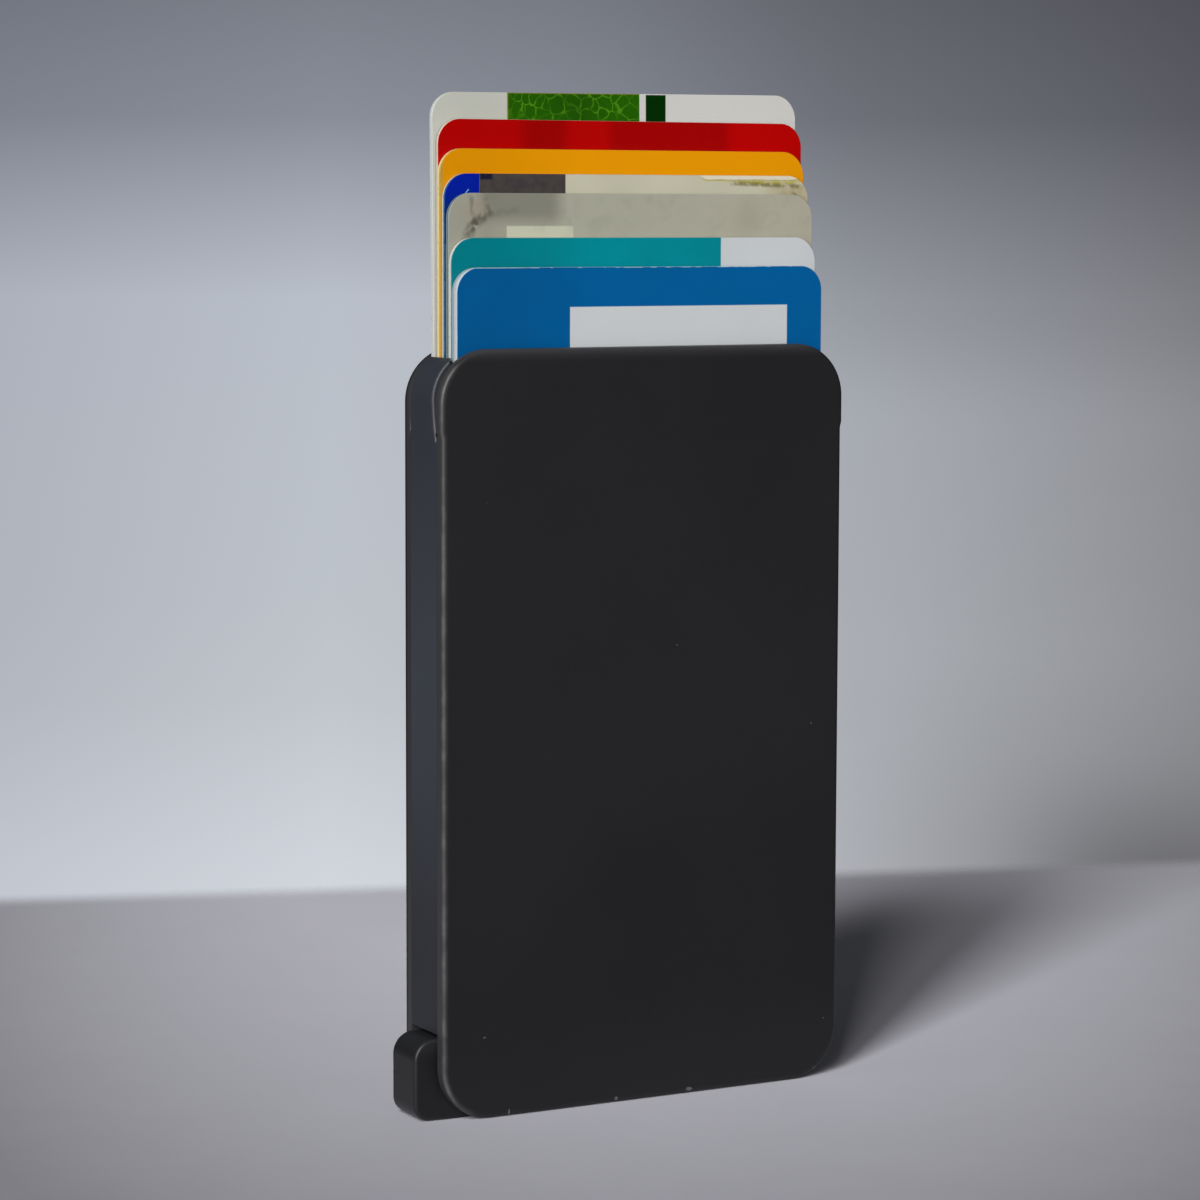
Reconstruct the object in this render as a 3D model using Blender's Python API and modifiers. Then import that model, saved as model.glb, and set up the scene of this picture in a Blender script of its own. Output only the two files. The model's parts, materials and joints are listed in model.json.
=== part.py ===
"""Slim pop-up card wallet, standing upright with eight cards fanned out of its mouth.

Two flat covers hold two wall strips between them. A lever in the bottom left corner ends
outside in a thumb tab and inside in a stair of fingers, one step for each card, so that
pressing the tab lifts every card by a different height. A spring brings the tab home.

X runs to the right and Z up as seen from the front, and Y towards the back. The origin is
in the middle of the case's base. Cards are numbered from the front.
"""

import math

import bmesh
import bpy
from mathutils import Matrix, Vector

MM = 0.001

# Cards of the standard size
CARD_WIDTH = 53.98 * MM
CARD_HEIGHT = 85.6 * MM
CARD_THICKNESS = 0.76 * MM
CARD_RADIUS = 3.18 * MM
CARD_GAP = 0.14 * MM
CARD_LIFT_GAP = 0.3 * MM
CARD_REST_GAP = 0.3 * MM

# Case
CARD_SIDE_PLAY = 1.11 * MM
CARD_STACK_PLAY = 0.22 * MM
CARD_RIM_DROP = 1.0 * MM
CORNER_RADIUS = 7.0 * MM
COVER_THICKNESS = 1.7 * MM
COVER_FILLET = 0.8 * MM
WALL_THICKNESS = 1.5 * MM
SEAM_GAP = 0.12 * MM

# Mouth: the covers' free lips, the slits that free them, and the throat of the walls
LIP_HEIGHT = 10.4 * MM
LIP_FLARE = 0.2 * MM
LEAD_IN = 0.4 * MM
THROAT_NARROWING = 0.3 * MM
SLIT_TOP_DROP = 1.6 * MM
SLIT_HEIGHT = 9.8 * MM
SLIT_DEPTH = 1.1 * MM

# Tongues on the walls and the grooves they seat in
TONGUE_INSET = 0.45 * MM
TONGUE_WIDTH = 0.6 * MM
TONGUE_HEIGHT = 0.5 * MM
TONGUE_CLEARANCE = 0.12 * MM
TONGUE_TOP_DROP = 13.0 * MM
TONGUE_END_SETBACK = 1.6 * MM

# Felt strips in shallow pockets of the covers
PAD_WIDTH = 40.0 * MM
PAD_HEIGHT = 6.0 * MM
PAD_THICKNESS = 0.6 * MM
PAD_TOP_DROP = 4.5 * MM
PAD_PROUD = 0.08 * MM
PAD_CLEARANCE = 0.15 * MM
PAD_CORNER_RADIUS = 1.0 * MM

# Lever
PIVOT_INSET = 5.4 * MM
PIVOT_Z = 8.5 * MM
LEVER_LIFT = math.radians(44)
LEVER_SIDE_GAP = 0.4 * MM
HUB_RADIUS = 3.5 * MM
TAB_OVERHANG = 3.05 * MM
TAB_TOP_DROP = 1.1 * MM
TAB_TOP_RADIUS = 2.8 * MM
TAB_BOTTOM_RADIUS = 2.2 * MM
TAB_FLOOR_GAP = 0.1 * MM
TAB_FILLET = 0.5 * MM
TAB_WALL_GAP = 0.45 * MM
HEEL_REACH = 2.6 * MM
HEEL_RADIUS = 1.0 * MM
HEEL_HEIGHT = 4.4 * MM
FINGER_SHORTEST = 18.0 * MM
FINGER_WALL_GAP = 1.9 * MM
FINGERS_IN_FIRST_STEP = 2
FINGER_TIP_DEPTH = 2.4 * MM
FINGER_NOSE_RADIUS = 0.8 * MM
STOP_GAP = 0.3 * MM

# Ribs beside the fingers: closed cards stand on them, and the fingers rest on their feet
RIB_THICKNESS = 1.2 * MM
RIB_STEP_CLEARANCE = 0.5 * MM
RIB_SIDE_CLEARANCE = 0.3 * MM
RIB_FINGER_GAP = 0.3 * MM

# Pivot pin and return spring
PIN_RADIUS = 1.0 * MM
PIN_CLEARANCE = 0.1 * MM
PIN_SOCKET_DEPTH = 1.0 * MM
PIN_END_GAP = 0.15 * MM
PIN_CHAMFER = 0.15 * MM
SPRING_WIRE = 0.45 * MM
SPRING_RADIUS = 2.0 * MM
SPRING_PITCH = 0.92 * MM
SPRING_TURNS = 2.25
SPRING_POINTS_PER_TURN = 10
SPRING_ARM = 5.0 * MM
SPRING_TANG = 0.6 * MM
SPRING_CLEARANCE = 0.3 * MM

# How far each card stands above the finger that last lifted it, and its place sideways
CARDS = (
    ("card_1_blue", (0.0, 0.135, 0.38, 1), 0.0 * MM, 0.46 * MM),
    ("card_2_white", (0.72, 0.74, 0.76, 1), 0.0 * MM, 0.18 * MM),
    ("card_3_teal", (0.0, 0.27, 0.31, 1), 0.0 * MM, 0.64 * MM),
    ("card_4_frosted", (0.42, 0.41, 0.37, 1), 1.9 * MM, 0.46 * MM),
    ("card_5_laminated", (0.60, 0.59, 0.52, 1), 0.6 * MM, 0.7 * MM),
    ("card_6_amber", (0.83, 0.36, 0.01, 1), 0.0 * MM, 0.49 * MM),
    ("card_7_red", (0.55, 0.0, 0.0, 1), 0.0 * MM, 0.45 * MM),
    ("card_8_green_block", (0.68, 0.69, 0.68, 1), 0.0 * MM, 0.24 * MM),
)

# What the sizes above give
CARD_PITCH = CARD_THICKNESS + CARD_GAP
CARD_STACK = CARD_PITCH * (len(CARDS) - 1) + CARD_THICKNESS
FRONT_CARD_Y = (CARD_THICKNESS - CARD_STACK) / 2
POCKET_HALF_WIDTH = CARD_WIDTH / 2 + CARD_SIDE_PLAY
HALF_WIDTH = POCKET_HALF_WIDTH + WALL_THICKNESS
COVER_INNER = CARD_STACK / 2 + CARD_STACK_PLAY
HALF_THICKNESS = COVER_INNER + COVER_THICKNESS
FINGER_TOP = PIVOT_Z + HUB_RADIUS
CASE_HEIGHT = FINGER_TOP + CARD_REST_GAP + CARD_HEIGHT + CARD_RIM_DROP
CORNER_X = HALF_WIDTH - CORNER_RADIUS
CORNER_TOP = CASE_HEIGHT - CORNER_RADIUS
MOUTH_HALF_WIDTH = POCKET_HALF_WIDTH - THROAT_NARROWING
WALL_HALF_DEPTH = COVER_INNER - SEAM_GAP
LIP_BASE = CASE_HEIGHT - LIP_HEIGHT
PIVOT_X = PIVOT_INSET - HALF_WIDTH
LEVER_HALF = COVER_INNER - LEVER_SIDE_GAP
TAB_TOP = FINGER_TOP - TAB_TOP_DROP
WALL_FOOT = TAB_TOP + TAB_WALL_GAP
STEPS = len(CARDS) - FINGERS_IN_FIRST_STEP + 1
FINGER_LONGEST = POCKET_HALF_WIDTH - FINGER_WALL_GAP - PIVOT_X
FINGER_STEP = (FINGER_LONGEST - FINGER_SHORTEST) / (STEPS - 1)

ARC_STEP = math.radians(7.5)
OVERRUN = 1.0 * MM
WELD = 0.001 * MM


def arc(x, y, radius, start, end):
    """Points from angle start to angle end, in degrees, both ends included."""
    start, end = math.radians(start), math.radians(end)
    count = max(2, round(abs(end - start) / ARC_STEP))
    angles = [start + (end - start) * i / count for i in range(count + 1)]
    return [(x + radius * math.cos(a), y + radius * math.sin(a)) for a in angles]


def rounded_oblong(left, right, low, high, radius):
    """A rectangle with round corners, counter-clockwise."""
    return (
        arc(right - radius, low + radius, radius, -90, 0)
        + arc(right - radius, high - radius, radius, 0, 90)
        + arc(left + radius, high - radius, radius, 90, 180)
        + arc(left + radius, low + radius, radius, 180, 270)
    )


def oblong(left, right, low, high):
    """A plain rectangle, counter-clockwise."""
    return [(left, low), (right, low), (right, high), (left, high)]


def mirrored(outline):
    """The outline seen from the other side, still counter-clockwise."""
    return [(-x, y) for x, y in reversed(outline)]


# An outline is drawn in two axes and given its thickness along the third.
ALONG_X = Matrix(((0, 0, 1), (1, 0, 0), (0, 1, 0))).to_4x4()
ALONG_Y = Matrix(((1, 0, 0), (0, 0, -1), (0, 1, 0))).to_4x4()
ALONG_Z = Matrix.Identity(4)


def tidy_mesh(mesh):
    """Weld the seams and merge flat triangles into whole faces."""
    shape = bmesh.new()
    shape.from_mesh(mesh)
    bmesh.ops.remove_doubles(shape, verts=shape.verts, dist=WELD)
    bmesh.ops.dissolve_limit(
        shape, angle_limit=math.radians(0.1), verts=shape.verts, edges=shape.edges
    )
    bmesh.ops.recalc_face_normals(shape, faces=shape.faces)
    shape.to_mesh(mesh)
    shape.free()


def evaluated_mesh(source):
    """The mesh that an object's modifiers or curve settings give, in its own space."""
    depsgraph = bpy.context.evaluated_depsgraph_get()
    depsgraph.update()
    return bpy.data.meshes.new_from_object(source.evaluated_get(depsgraph))


def prism(name, outline, low, high, direction=ALONG_Y, origin=(0, 0, 0)):
    """A solid of even thickness from a flat outline, between low and high on its axis."""
    curve = bpy.data.curves.new(name, "CURVE")
    curve.dimensions = "2D"
    curve.fill_mode = "BOTH"
    curve.extrude = (high - low) / 2
    spline = curve.splines.new("POLY")
    spline.points.add(len(outline) - 1)
    for point, (u, v) in zip(spline.points, outline):
        point.co = (u, v, 0, 1)
    spline.use_cyclic_u = True
    guide = bpy.data.objects.new(name, curve)
    bpy.context.scene.collection.objects.link(guide)
    mesh = evaluated_mesh(guide)
    bpy.data.objects.remove(guide)
    bpy.data.curves.remove(curve)
    mesh.transform(direction)
    axis = Vector(map(abs, direction.col[2].to_3d()))
    mesh.transform(Matrix.Translation(axis * (low + high) / 2))
    tidy_mesh(mesh)
    piece = bpy.data.objects.new(name, mesh)
    mesh.name = name
    piece.location = origin
    return piece


def cylinder(name, radius, low, high, x, z, sides=32, chamfer=0.0):
    """A round bar along Y, with its own chamfer on both ends where one is given."""
    shape = bmesh.new()
    bmesh.ops.create_cone(
        shape,
        cap_ends=True,
        segments=sides,
        radius1=radius,
        radius2=radius,
        depth=high - low,
        matrix=Matrix.Rotation(math.radians(90), 4, "X"),
    )
    if chamfer:
        rims = [e for e in shape.edges if any(len(f.verts) > 4 for f in e.link_faces)]
        bmesh.ops.bevel(
            shape, geom=rims, offset=chamfer, segments=1, affect="EDGES", profile=0.5
        )
    mesh = bpy.data.meshes.new(name)
    shape.to_mesh(mesh)
    shape.free()
    piece = bpy.data.objects.new(name, mesh)
    piece.location = (x, (low + high) / 2, z)
    return piece


def collection(name):
    """A new collection in the scene."""
    group = bpy.data.collections.new(name)
    bpy.context.scene.collection.children.link(group)
    return group


def boolean(piece, other, operation):
    """Cut, join or intersect a piece with a helper solid, which isn't part of the wallet."""
    bpy.data.collections["cutters"].objects.link(other)
    other.hide_render = True
    other.display_type = "WIRE"
    modifier = piece.modifiers.new(other.name, "BOOLEAN")
    modifier.operation = operation
    modifier.object = other
    modifier.solver = "EXACT"


def round_edges(piece, width, segments, share_of_edge):
    """Bevel the edges for which share_of_edge(middle, direction) gives over zero."""
    mesh = piece.data
    weights = mesh.attributes.new("bevel_weight_edge", "FLOAT", "EDGE")
    for edge in mesh.edges:
        start, end = (mesh.vertices[i].co for i in edge.vertices)
        share = share_of_edge((start + end) / 2, (end - start).normalized())
        weights.data[edge.index].value = share
    modifier = piece.modifiers.new("round edges", "BEVEL")
    modifier.limit_method = "WEIGHT"
    modifier.width = width
    modifier.segments = segments
    modifier.use_clamp_overlap = False


def material(name, color, roughness, metallic=0.0):
    """A plain Principled material."""
    made = bpy.data.materials.new(name)
    made.use_nodes = True
    made.diffuse_color = color
    shader = made.node_tree.nodes["Principled BSDF"]
    shader.inputs["Base Color"].default_value = color
    shader.inputs["Roughness"].default_value = roughness
    shader.inputs["Metallic"].default_value = metallic
    return made


def finish(piece, color, roughness, metallic=0.0):
    """Put a piece into the wallet with its own material and smooth round faces."""
    bpy.data.collections["slim_wallet"].objects.link(piece)
    piece.data.materials.append(material(piece.name, color, roughness, metallic))
    piece.data.shade_smooth()
    piece.data.set_sharp_from_angle(angle=math.radians(30))
    return piece


PLASTIC = ((0.018, 0.018, 0.020, 1), 0.55)


# Covers


def cover_outline():
    """A cover from the front: a rounded oblong with a slightly wider lip at the mouth."""
    lip = HALF_WIDTH + LIP_FLARE
    right = (
        arc(CORNER_X, CORNER_RADIUS, CORNER_RADIUS, -90, 0)
        + [(HALF_WIDTH, LIP_BASE - LIP_FLARE), (lip, LIP_BASE)]
        + arc(lip - CORNER_RADIUS, CORNER_TOP, CORNER_RADIUS, 0, 90)
    )
    return right + mirrored(right)


def pad_outline(clearance):
    """The felt strip's outline, grown by a clearance."""
    top = CASE_HEIGHT - PAD_TOP_DROP
    return rounded_oblong(
        -PAD_WIDTH / 2 - clearance,
        PAD_WIDTH / 2 + clearance,
        top - PAD_HEIGHT - clearance,
        top + clearance,
        PAD_CORNER_RADIUS + clearance,
    )


def cover(name, side):
    """One cover. side is -1 at the front and 1 at the back."""
    inner, outer = side * COVER_INNER, side * HALF_THICKNESS
    low, high = sorted((inner, outer))
    piece = prism(name, cover_outline(), low, high)

    def rounded_share(middle, direction):
        if abs(middle.y - outer) < WELD:
            return 1.0
        at_mouth = middle.z > CASE_HEIGHT - WELD and abs(middle.y - inner) < WELD
        return LEAD_IN / COVER_FILLET if at_mouth else 0.0

    round_edges(piece, COVER_FILLET, 4, rounded_share)

    def sunk(depth):
        return sorted((side * (COVER_INNER - OVERRUN), side * (COVER_INNER + depth)))

    groove_depth = TONGUE_HEIGHT - SEAM_GAP + TONGUE_CLEARANCE
    for wall, tongue in tongue_outlines(TONGUE_CLEARANCE):
        groove = prism(f"{name} {wall} groove", tongue, *sunk(groove_depth))
        boolean(piece, groove, "DIFFERENCE")
    pocket_depth = PAD_THICKNESS - PAD_PROUD + PAD_CLEARANCE
    pocket = prism(f"{name} pad pocket", pad_outline(PAD_CLEARANCE), *sunk(pocket_depth))
    boolean(piece, pocket, "DIFFERENCE")
    socket = cylinder(
        f"{name} pin socket",
        PIN_RADIUS + PIN_CLEARANCE,
        *sunk(PIN_SOCKET_DEPTH),
        PIVOT_X,
        PIVOT_Z,
    )
    boolean(piece, socket, "DIFFERENCE")
    if side > 0:
        tang_hole = cylinder(
            f"{name} spring hole",
            SPRING_WIRE / 2 + PIN_CLEARANCE,
            *sunk(SPRING_TANG + PIN_CLEARANCE),
            PIVOT_X - SPRING_RADIUS,
            PIVOT_Z,
            sides=12,
        )
        boolean(piece, tang_hole, "DIFFERENCE")
    return finish(piece, *PLASTIC)


def friction_pad(name, side):
    """The felt strip in one cover's pocket, just proud of the cover's inner face."""
    face = side * (COVER_INNER - PAD_PROUD)
    back = side * (COVER_INNER - PAD_PROUD + PAD_THICKNESS)
    piece = prism(name, pad_outline(0), *sorted((face, back)))
    return finish(piece, (0.012, 0.012, 0.013, 1), 0.95)


# Walls


def wall_crown():
    """The right wall's top, from its outer side round the corner and back down inside."""
    outer_end = math.degrees(math.acos((MOUTH_HALF_WIDTH - CORNER_X) / CORNER_RADIUS))
    inner_radius = CORNER_RADIUS - WALL_THICKNESS
    inner_end = math.degrees(math.acos((MOUTH_HALF_WIDTH - CORNER_X) / inner_radius))
    return arc(CORNER_X, CORNER_TOP, CORNER_RADIUS, 0, outer_end) + arc(
        CORNER_X, CORNER_TOP, inner_radius, inner_end, 0
    )


def stop_face_x(z):
    """Where the bottom wall's end lies at height z: along the tab's sole at full lift."""
    sole = PIVOT_Z - TAB_FLOOR_GAP + STOP_GAP
    lift_sine, lift_cosine = math.sin(LEVER_LIFT), math.cos(LEVER_LIFT)
    return PIVOT_X + (sole + (z - PIVOT_Z) * lift_cosine) / lift_sine


def tongue_outlines(clearance):
    """The two tongues, or with a clearance their grooves, as name and outline."""
    outer = TONGUE_INSET - clearance
    inner = TONGUE_INSET + TONGUE_WIDTH + clearance
    top = CASE_HEIGHT - TONGUE_TOP_DROP + clearance
    foot = WALL_FOOT + TONGUE_END_SETBACK - clearance
    end = stop_face_x(WALL_THICKNESS) + TONGUE_END_SETBACK - clearance
    left = oblong(outer - HALF_WIDTH, inner - HALF_WIDTH, foot, top)
    right = (
        [(end, outer)]
        + arc(CORNER_X, CORNER_RADIUS, CORNER_RADIUS - outer, -90, 0)
        + [(HALF_WIDTH - outer, top), (HALF_WIDTH - inner, top)]
        + arc(CORNER_X, CORNER_RADIUS, CORNER_RADIUS - inner, 0, -90)
        + [(end, inner)]
    )
    return ("left", left), ("right", right)


def slit(name, wall, side):
    """The bow-shaped relief between a wall and a cover's lip, cut by a round bar."""
    height, depth = SLIT_HEIGHT / 2, SLIT_DEPTH
    radius = (height**2 + depth**2) / (2 * depth)
    centre = CASE_HEIGHT - SLIT_TOP_DROP - height
    middle = side * (WALL_HALF_DEPTH - depth + radius)
    outline = arc(middle, centre, radius, 0, 360)[:-1]
    low, high = sorted((wall * (MOUTH_HALF_WIDTH - OVERRUN), wall * (HALF_WIDTH + OVERRUN)))
    return prism(name, outline, low, high, ALONG_X)


def wall(name, outline, tongue, wall_side):
    """A wall strip with its tongues and the slits at the mouth."""
    piece = prism(name, outline, -WALL_HALF_DEPTH, WALL_HALF_DEPTH)
    reach = WALL_HALF_DEPTH + TONGUE_HEIGHT
    boolean(piece, prism(f"{name} tongues", tongue, -reach, reach), "UNION")
    for side in (-1, 1):
        cutter = slit(f"{name} slit {side}", wall_side, side)
        boolean(piece, cutter, "DIFFERENCE")
    return piece


def left_side_wall():
    """The strip on the tab's side, which ends just above the tab."""
    outline = mirrored(
        [(POCKET_HALF_WIDTH, WALL_FOOT), (HALF_WIDTH, WALL_FOOT)] + wall_crown()
    )
    tongue = dict(tongue_outlines(0))["left"]
    return finish(wall("left_side_wall", outline, tongue, -1), *PLASTIC)


def finger_length(step):
    """How far the fingers of one step reach from the pivot."""
    return FINGER_SHORTEST + FINGER_STEP * step


def step_back(step):
    """The Y where one step of the lever ends and the next, longer one begins."""
    return FRONT_CARD_Y + CARD_PITCH * (step + FINGERS_IN_FIRST_STEP - 1 / 2)


def finger_underside(x):
    """Height of the fingers' underside, which rises evenly from the heel to the tip."""
    heel = PIVOT_X + HEEL_REACH
    tip = PIVOT_X + FINGER_LONGEST
    rise = FINGER_TOP - FINGER_TIP_DEPTH - HEEL_HEIGHT
    return HEEL_HEIGHT + rise * (x - heel) / (tip - heel)


def rest_rib(step):
    """A rib past one step's tip: tall beside the longer fingers, and low under them."""
    left = PIVOT_X + finger_length(step) + RIB_STEP_CLEARANCE
    foot = finger_underside(left) - RIB_FINGER_GAP
    side = step_back(step) - RIB_SIDE_CLEARANCE
    outline = [
        (-WALL_HALF_DEPTH, WALL_THICKNESS / 2),
        (WALL_HALF_DEPTH, WALL_THICKNESS / 2),
        (WALL_HALF_DEPTH, foot),
        (side, foot),
        (side, FINGER_TOP),
        (-WALL_HALF_DEPTH, FINGER_TOP),
    ]
    return prism(f"rest rib {step}", outline, left, left + RIB_THICKNESS, ALONG_X)


def right_side_frame():
    """The right wall and the bottom wall in one, with the ribs that closed cards rest on."""
    inner_radius = CORNER_RADIUS - WALL_THICKNESS
    outline = (
        [(stop_face_x(0), 0)]
        + arc(CORNER_X, CORNER_RADIUS, CORNER_RADIUS, -90, 0)
        + wall_crown()
        + arc(CORNER_X, CORNER_RADIUS, inner_radius, 0, -90)
        + [(stop_face_x(WALL_THICKNESS), WALL_THICKNESS)]
    )
    tongue = dict(tongue_outlines(0))["right"]
    piece = wall("right_side_frame", outline, tongue, 1)
    for step in range(STEPS - 1):
        boolean(piece, rest_rib(step), "UNION")
    return finish(piece, *PLASTIC)


# Lever, pin and spring


def lever_side():
    """The lever from the front, about its pivot: tab, hub, heel and the longest finger."""
    tab_left = -HALF_WIDTH - TAB_OVERHANG - PIVOT_X
    sole = TAB_FLOOR_GAP - PIVOT_Z
    tab_top = TAB_TOP - PIVOT_Z
    hub_end = math.degrees(math.pi - math.asin(tab_top / HUB_RADIUS))
    tip = FINGER_LONGEST
    under_tip = HUB_RADIUS - FINGER_TIP_DEPTH
    return (
        arc(HEEL_REACH - HEEL_RADIUS, sole + HEEL_RADIUS, HEEL_RADIUS, -90, 0)
        + [(HEEL_REACH, HEEL_HEIGHT - PIVOT_Z), (tip, under_tip), (tip, HUB_RADIUS)]
        + arc(0, 0, HUB_RADIUS, 90, hub_end)
        + arc(tab_left + TAB_TOP_RADIUS, tab_top - TAB_TOP_RADIUS, TAB_TOP_RADIUS, 90, 180)
        + arc(
            tab_left + TAB_BOTTOM_RADIUS,
            sole + TAB_BOTTOM_RADIUS,
            TAB_BOTTOM_RADIUS,
            180,
            270,
        )
    )


def lever_stair():
    """The lever from above, about its pivot: each step back is one finger length longer."""
    left = -HALF_WIDTH - TAB_OVERHANG - PIVOT_X - OVERRUN
    points = [(left, -LEVER_HALF)]
    front = -LEVER_HALF
    for step in range(STEPS):
        back = LEVER_HALF if step == STEPS - 1 else step_back(step)
        points += [(finger_length(step), front), (finger_length(step), back)]
        front = back
    return points + [(left, LEVER_HALF)]


def ejector_lever():
    """Thumb tab, hub and stepped fingers in one moulding, turning about the pivot pin."""
    pivot = (PIVOT_X, 0, PIVOT_Z)
    reach = PIVOT_Z + OVERRUN
    blank = prism("lever blank", lever_side(), -LEVER_HALF - OVERRUN, LEVER_HALF + OVERRUN)
    stair = prism("lever stair", lever_stair(), -reach, reach, ALONG_Z)
    boolean(blank, stair, "INTERSECT")
    bpy.context.scene.collection.objects.link(blank)
    mesh = evaluated_mesh(blank)
    bpy.data.objects.remove(blank)
    tidy_mesh(mesh)
    mesh.name = "ejector_lever"
    piece = bpy.data.objects.new("ejector_lever", mesh)
    piece.location = pivot
    tips = [finger_length(step) for step in range(STEPS)]

    def rounded_share(middle, direction):
        on_top = middle.z > HUB_RADIUS - WELD
        at_tip = any(abs(middle.x - tip) < WELD for tip in tips)
        if on_top and at_tip and abs(direction.y) > 1 - WELD:
            return 1.0
        on_rim = abs(middle.y) > LEVER_HALF - WELD
        on_tab = middle.x < -HUB_RADIUS * math.cos(math.radians(45))
        return TAB_FILLET / FINGER_NOSE_RADIUS if on_rim and on_tab else 0.0

    round_edges(piece, FINGER_NOSE_RADIUS, 3, rounded_share)
    bore = cylinder(
        "lever bore",
        PIN_RADIUS + PIN_CLEARANCE,
        -LEVER_HALF - OVERRUN,
        LEVER_HALF + OVERRUN,
        PIVOT_X,
        PIVOT_Z,
    )
    boolean(piece, bore, "DIFFERENCE")
    coil_depth = SPRING_PITCH * SPRING_TURNS + SPRING_WIRE + 2 * SPRING_CLEARANCE
    seat_floor = LEVER_HALF - coil_depth
    seat = cylinder(
        "spring seat",
        SPRING_RADIUS + SPRING_WIRE / 2 + SPRING_CLEARANCE,
        seat_floor,
        LEVER_HALF + OVERRUN,
        PIVOT_X,
        PIVOT_Z,
    )
    boolean(piece, seat, "DIFFERENCE")
    half_slot = SPRING_WIRE / 2 + SPRING_CLEARANCE
    slot = prism(
        "spring arm slot",
        oblong(
            PIVOT_X,
            PIVOT_X + SPRING_ARM + SPRING_CLEARANCE,
            PIVOT_Z + SPRING_RADIUS - half_slot,
            PIVOT_Z + SPRING_RADIUS + half_slot,
        ),
        seat_floor,
        LEVER_HALF + OVERRUN,
    )
    boolean(piece, slot, "DIFFERENCE")
    return finish(piece, *PLASTIC)


def pivot_pin():
    """The steel pin, held at both ends in blind sockets of the covers."""
    reach = COVER_INNER + PIN_SOCKET_DEPTH - PIN_END_GAP
    piece = cylinder(
        "pivot_pin", PIN_RADIUS, -reach, reach, PIVOT_X, PIVOT_Z, chamfer=PIN_CHAMFER
    )
    return finish(piece, (0.55, 0.56, 0.57, 1), 0.3, metallic=1.0)


def spring_path():
    """The wire's centre line: tang in the back cover, coil round the pin, arm in the lever."""
    coil_back = LEVER_HALF - SPRING_CLEARANCE - SPRING_WIRE / 2
    count = round(SPRING_TURNS * SPRING_POINTS_PER_TURN)
    turn_back = math.tau * SPRING_TURNS
    points = [(-SPRING_RADIUS, COVER_INNER + SPRING_TANG, 0)]
    for i in range(count + 1):
        share = i / count
        angle = math.pi / 2 + turn_back * (1 - share)
        y = coil_back - SPRING_PITCH * SPRING_TURNS * share
        points.append((SPRING_RADIUS * math.cos(angle), y, SPRING_RADIUS * math.sin(angle)))
    end = points[-1]
    points.append((SPRING_ARM, end[1], end[2]))
    return points


def return_spring():
    """A torsion spring of round wire that turns the lever back down."""
    path = spring_path()
    curve = bpy.data.curves.new("return_spring", "CURVE")
    curve.dimensions = "3D"
    curve.bevel_depth = SPRING_WIRE / 2
    curve.bevel_resolution = 1
    curve.use_fill_caps = True
    spline = curve.splines.new("POLY")
    spline.points.add(len(path) - 1)
    for point, place in zip(spline.points, path):
        point.co = (*place, 1)
    piece = bpy.data.objects.new("return_spring", curve)
    piece.location = (PIVOT_X, 0, PIVOT_Z)
    bpy.data.collections["slim_wallet"].objects.link(piece)
    curve.materials.append(material("return_spring", (0.5, 0.51, 0.52, 1), 0.3, 1.0))
    return piece


# Cards


def lifted_height(length):
    """How high a finger of this length holds a card when the lever is fully up."""
    along = (length - FINGER_NOSE_RADIUS) * math.sin(LEVER_LIFT)
    above = (HUB_RADIUS - FINGER_NOSE_RADIUS) * math.cos(LEVER_LIFT)
    return PIVOT_Z + along + above + FINGER_NOSE_RADIUS


def card(number, name, color, above_finger, x):
    """One card, its origin at the middle of its bottom edge."""
    step = max(0, number - FINGERS_IN_FIRST_STEP + 1)
    bottom = lifted_height(finger_length(step)) + CARD_LIFT_GAP + above_finger
    outline = rounded_oblong(-CARD_WIDTH / 2, CARD_WIDTH / 2, 0, CARD_HEIGHT, CARD_RADIUS)
    place = (x, FRONT_CARD_Y + CARD_PITCH * number, bottom)
    piece = prism(name, outline, -CARD_THICKNESS / 2, CARD_THICKNESS / 2, origin=place)
    return finish(piece, color, 0.35)


def main():
    """Clear the scene and build the wallet."""
    for old in list(bpy.data.objects):
        bpy.data.objects.remove(old)
    collection("slim_wallet")
    cutters = collection("cutters")
    cutters.hide_render = True
    cover("front_cover", -1)
    cover("back_cover", 1)
    left_side_wall()
    right_side_frame()
    ejector_lever()
    pivot_pin()
    return_spring()
    friction_pad("front_friction_pad", -1)
    friction_pad("back_friction_pad", 1)
    for number, (name, color, above_finger, x) in enumerate(CARDS):
        card(number, name, color, above_finger, x)


main()
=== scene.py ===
"""A slim pop-up card wallet with eight cards fanned out of its mouth.

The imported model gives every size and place. Each of its pieces gets a finely rounded one
here in the finish of the real wallet: fine-grained matt plastic, printed and worn cards,
felt strips, a ground pin and a wire spring. Shapes are in metres, and finishes and prints in
millimetres. X runs to the right and Z up as seen from the front, and Y towards the back.
"""

import json
import math

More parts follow.
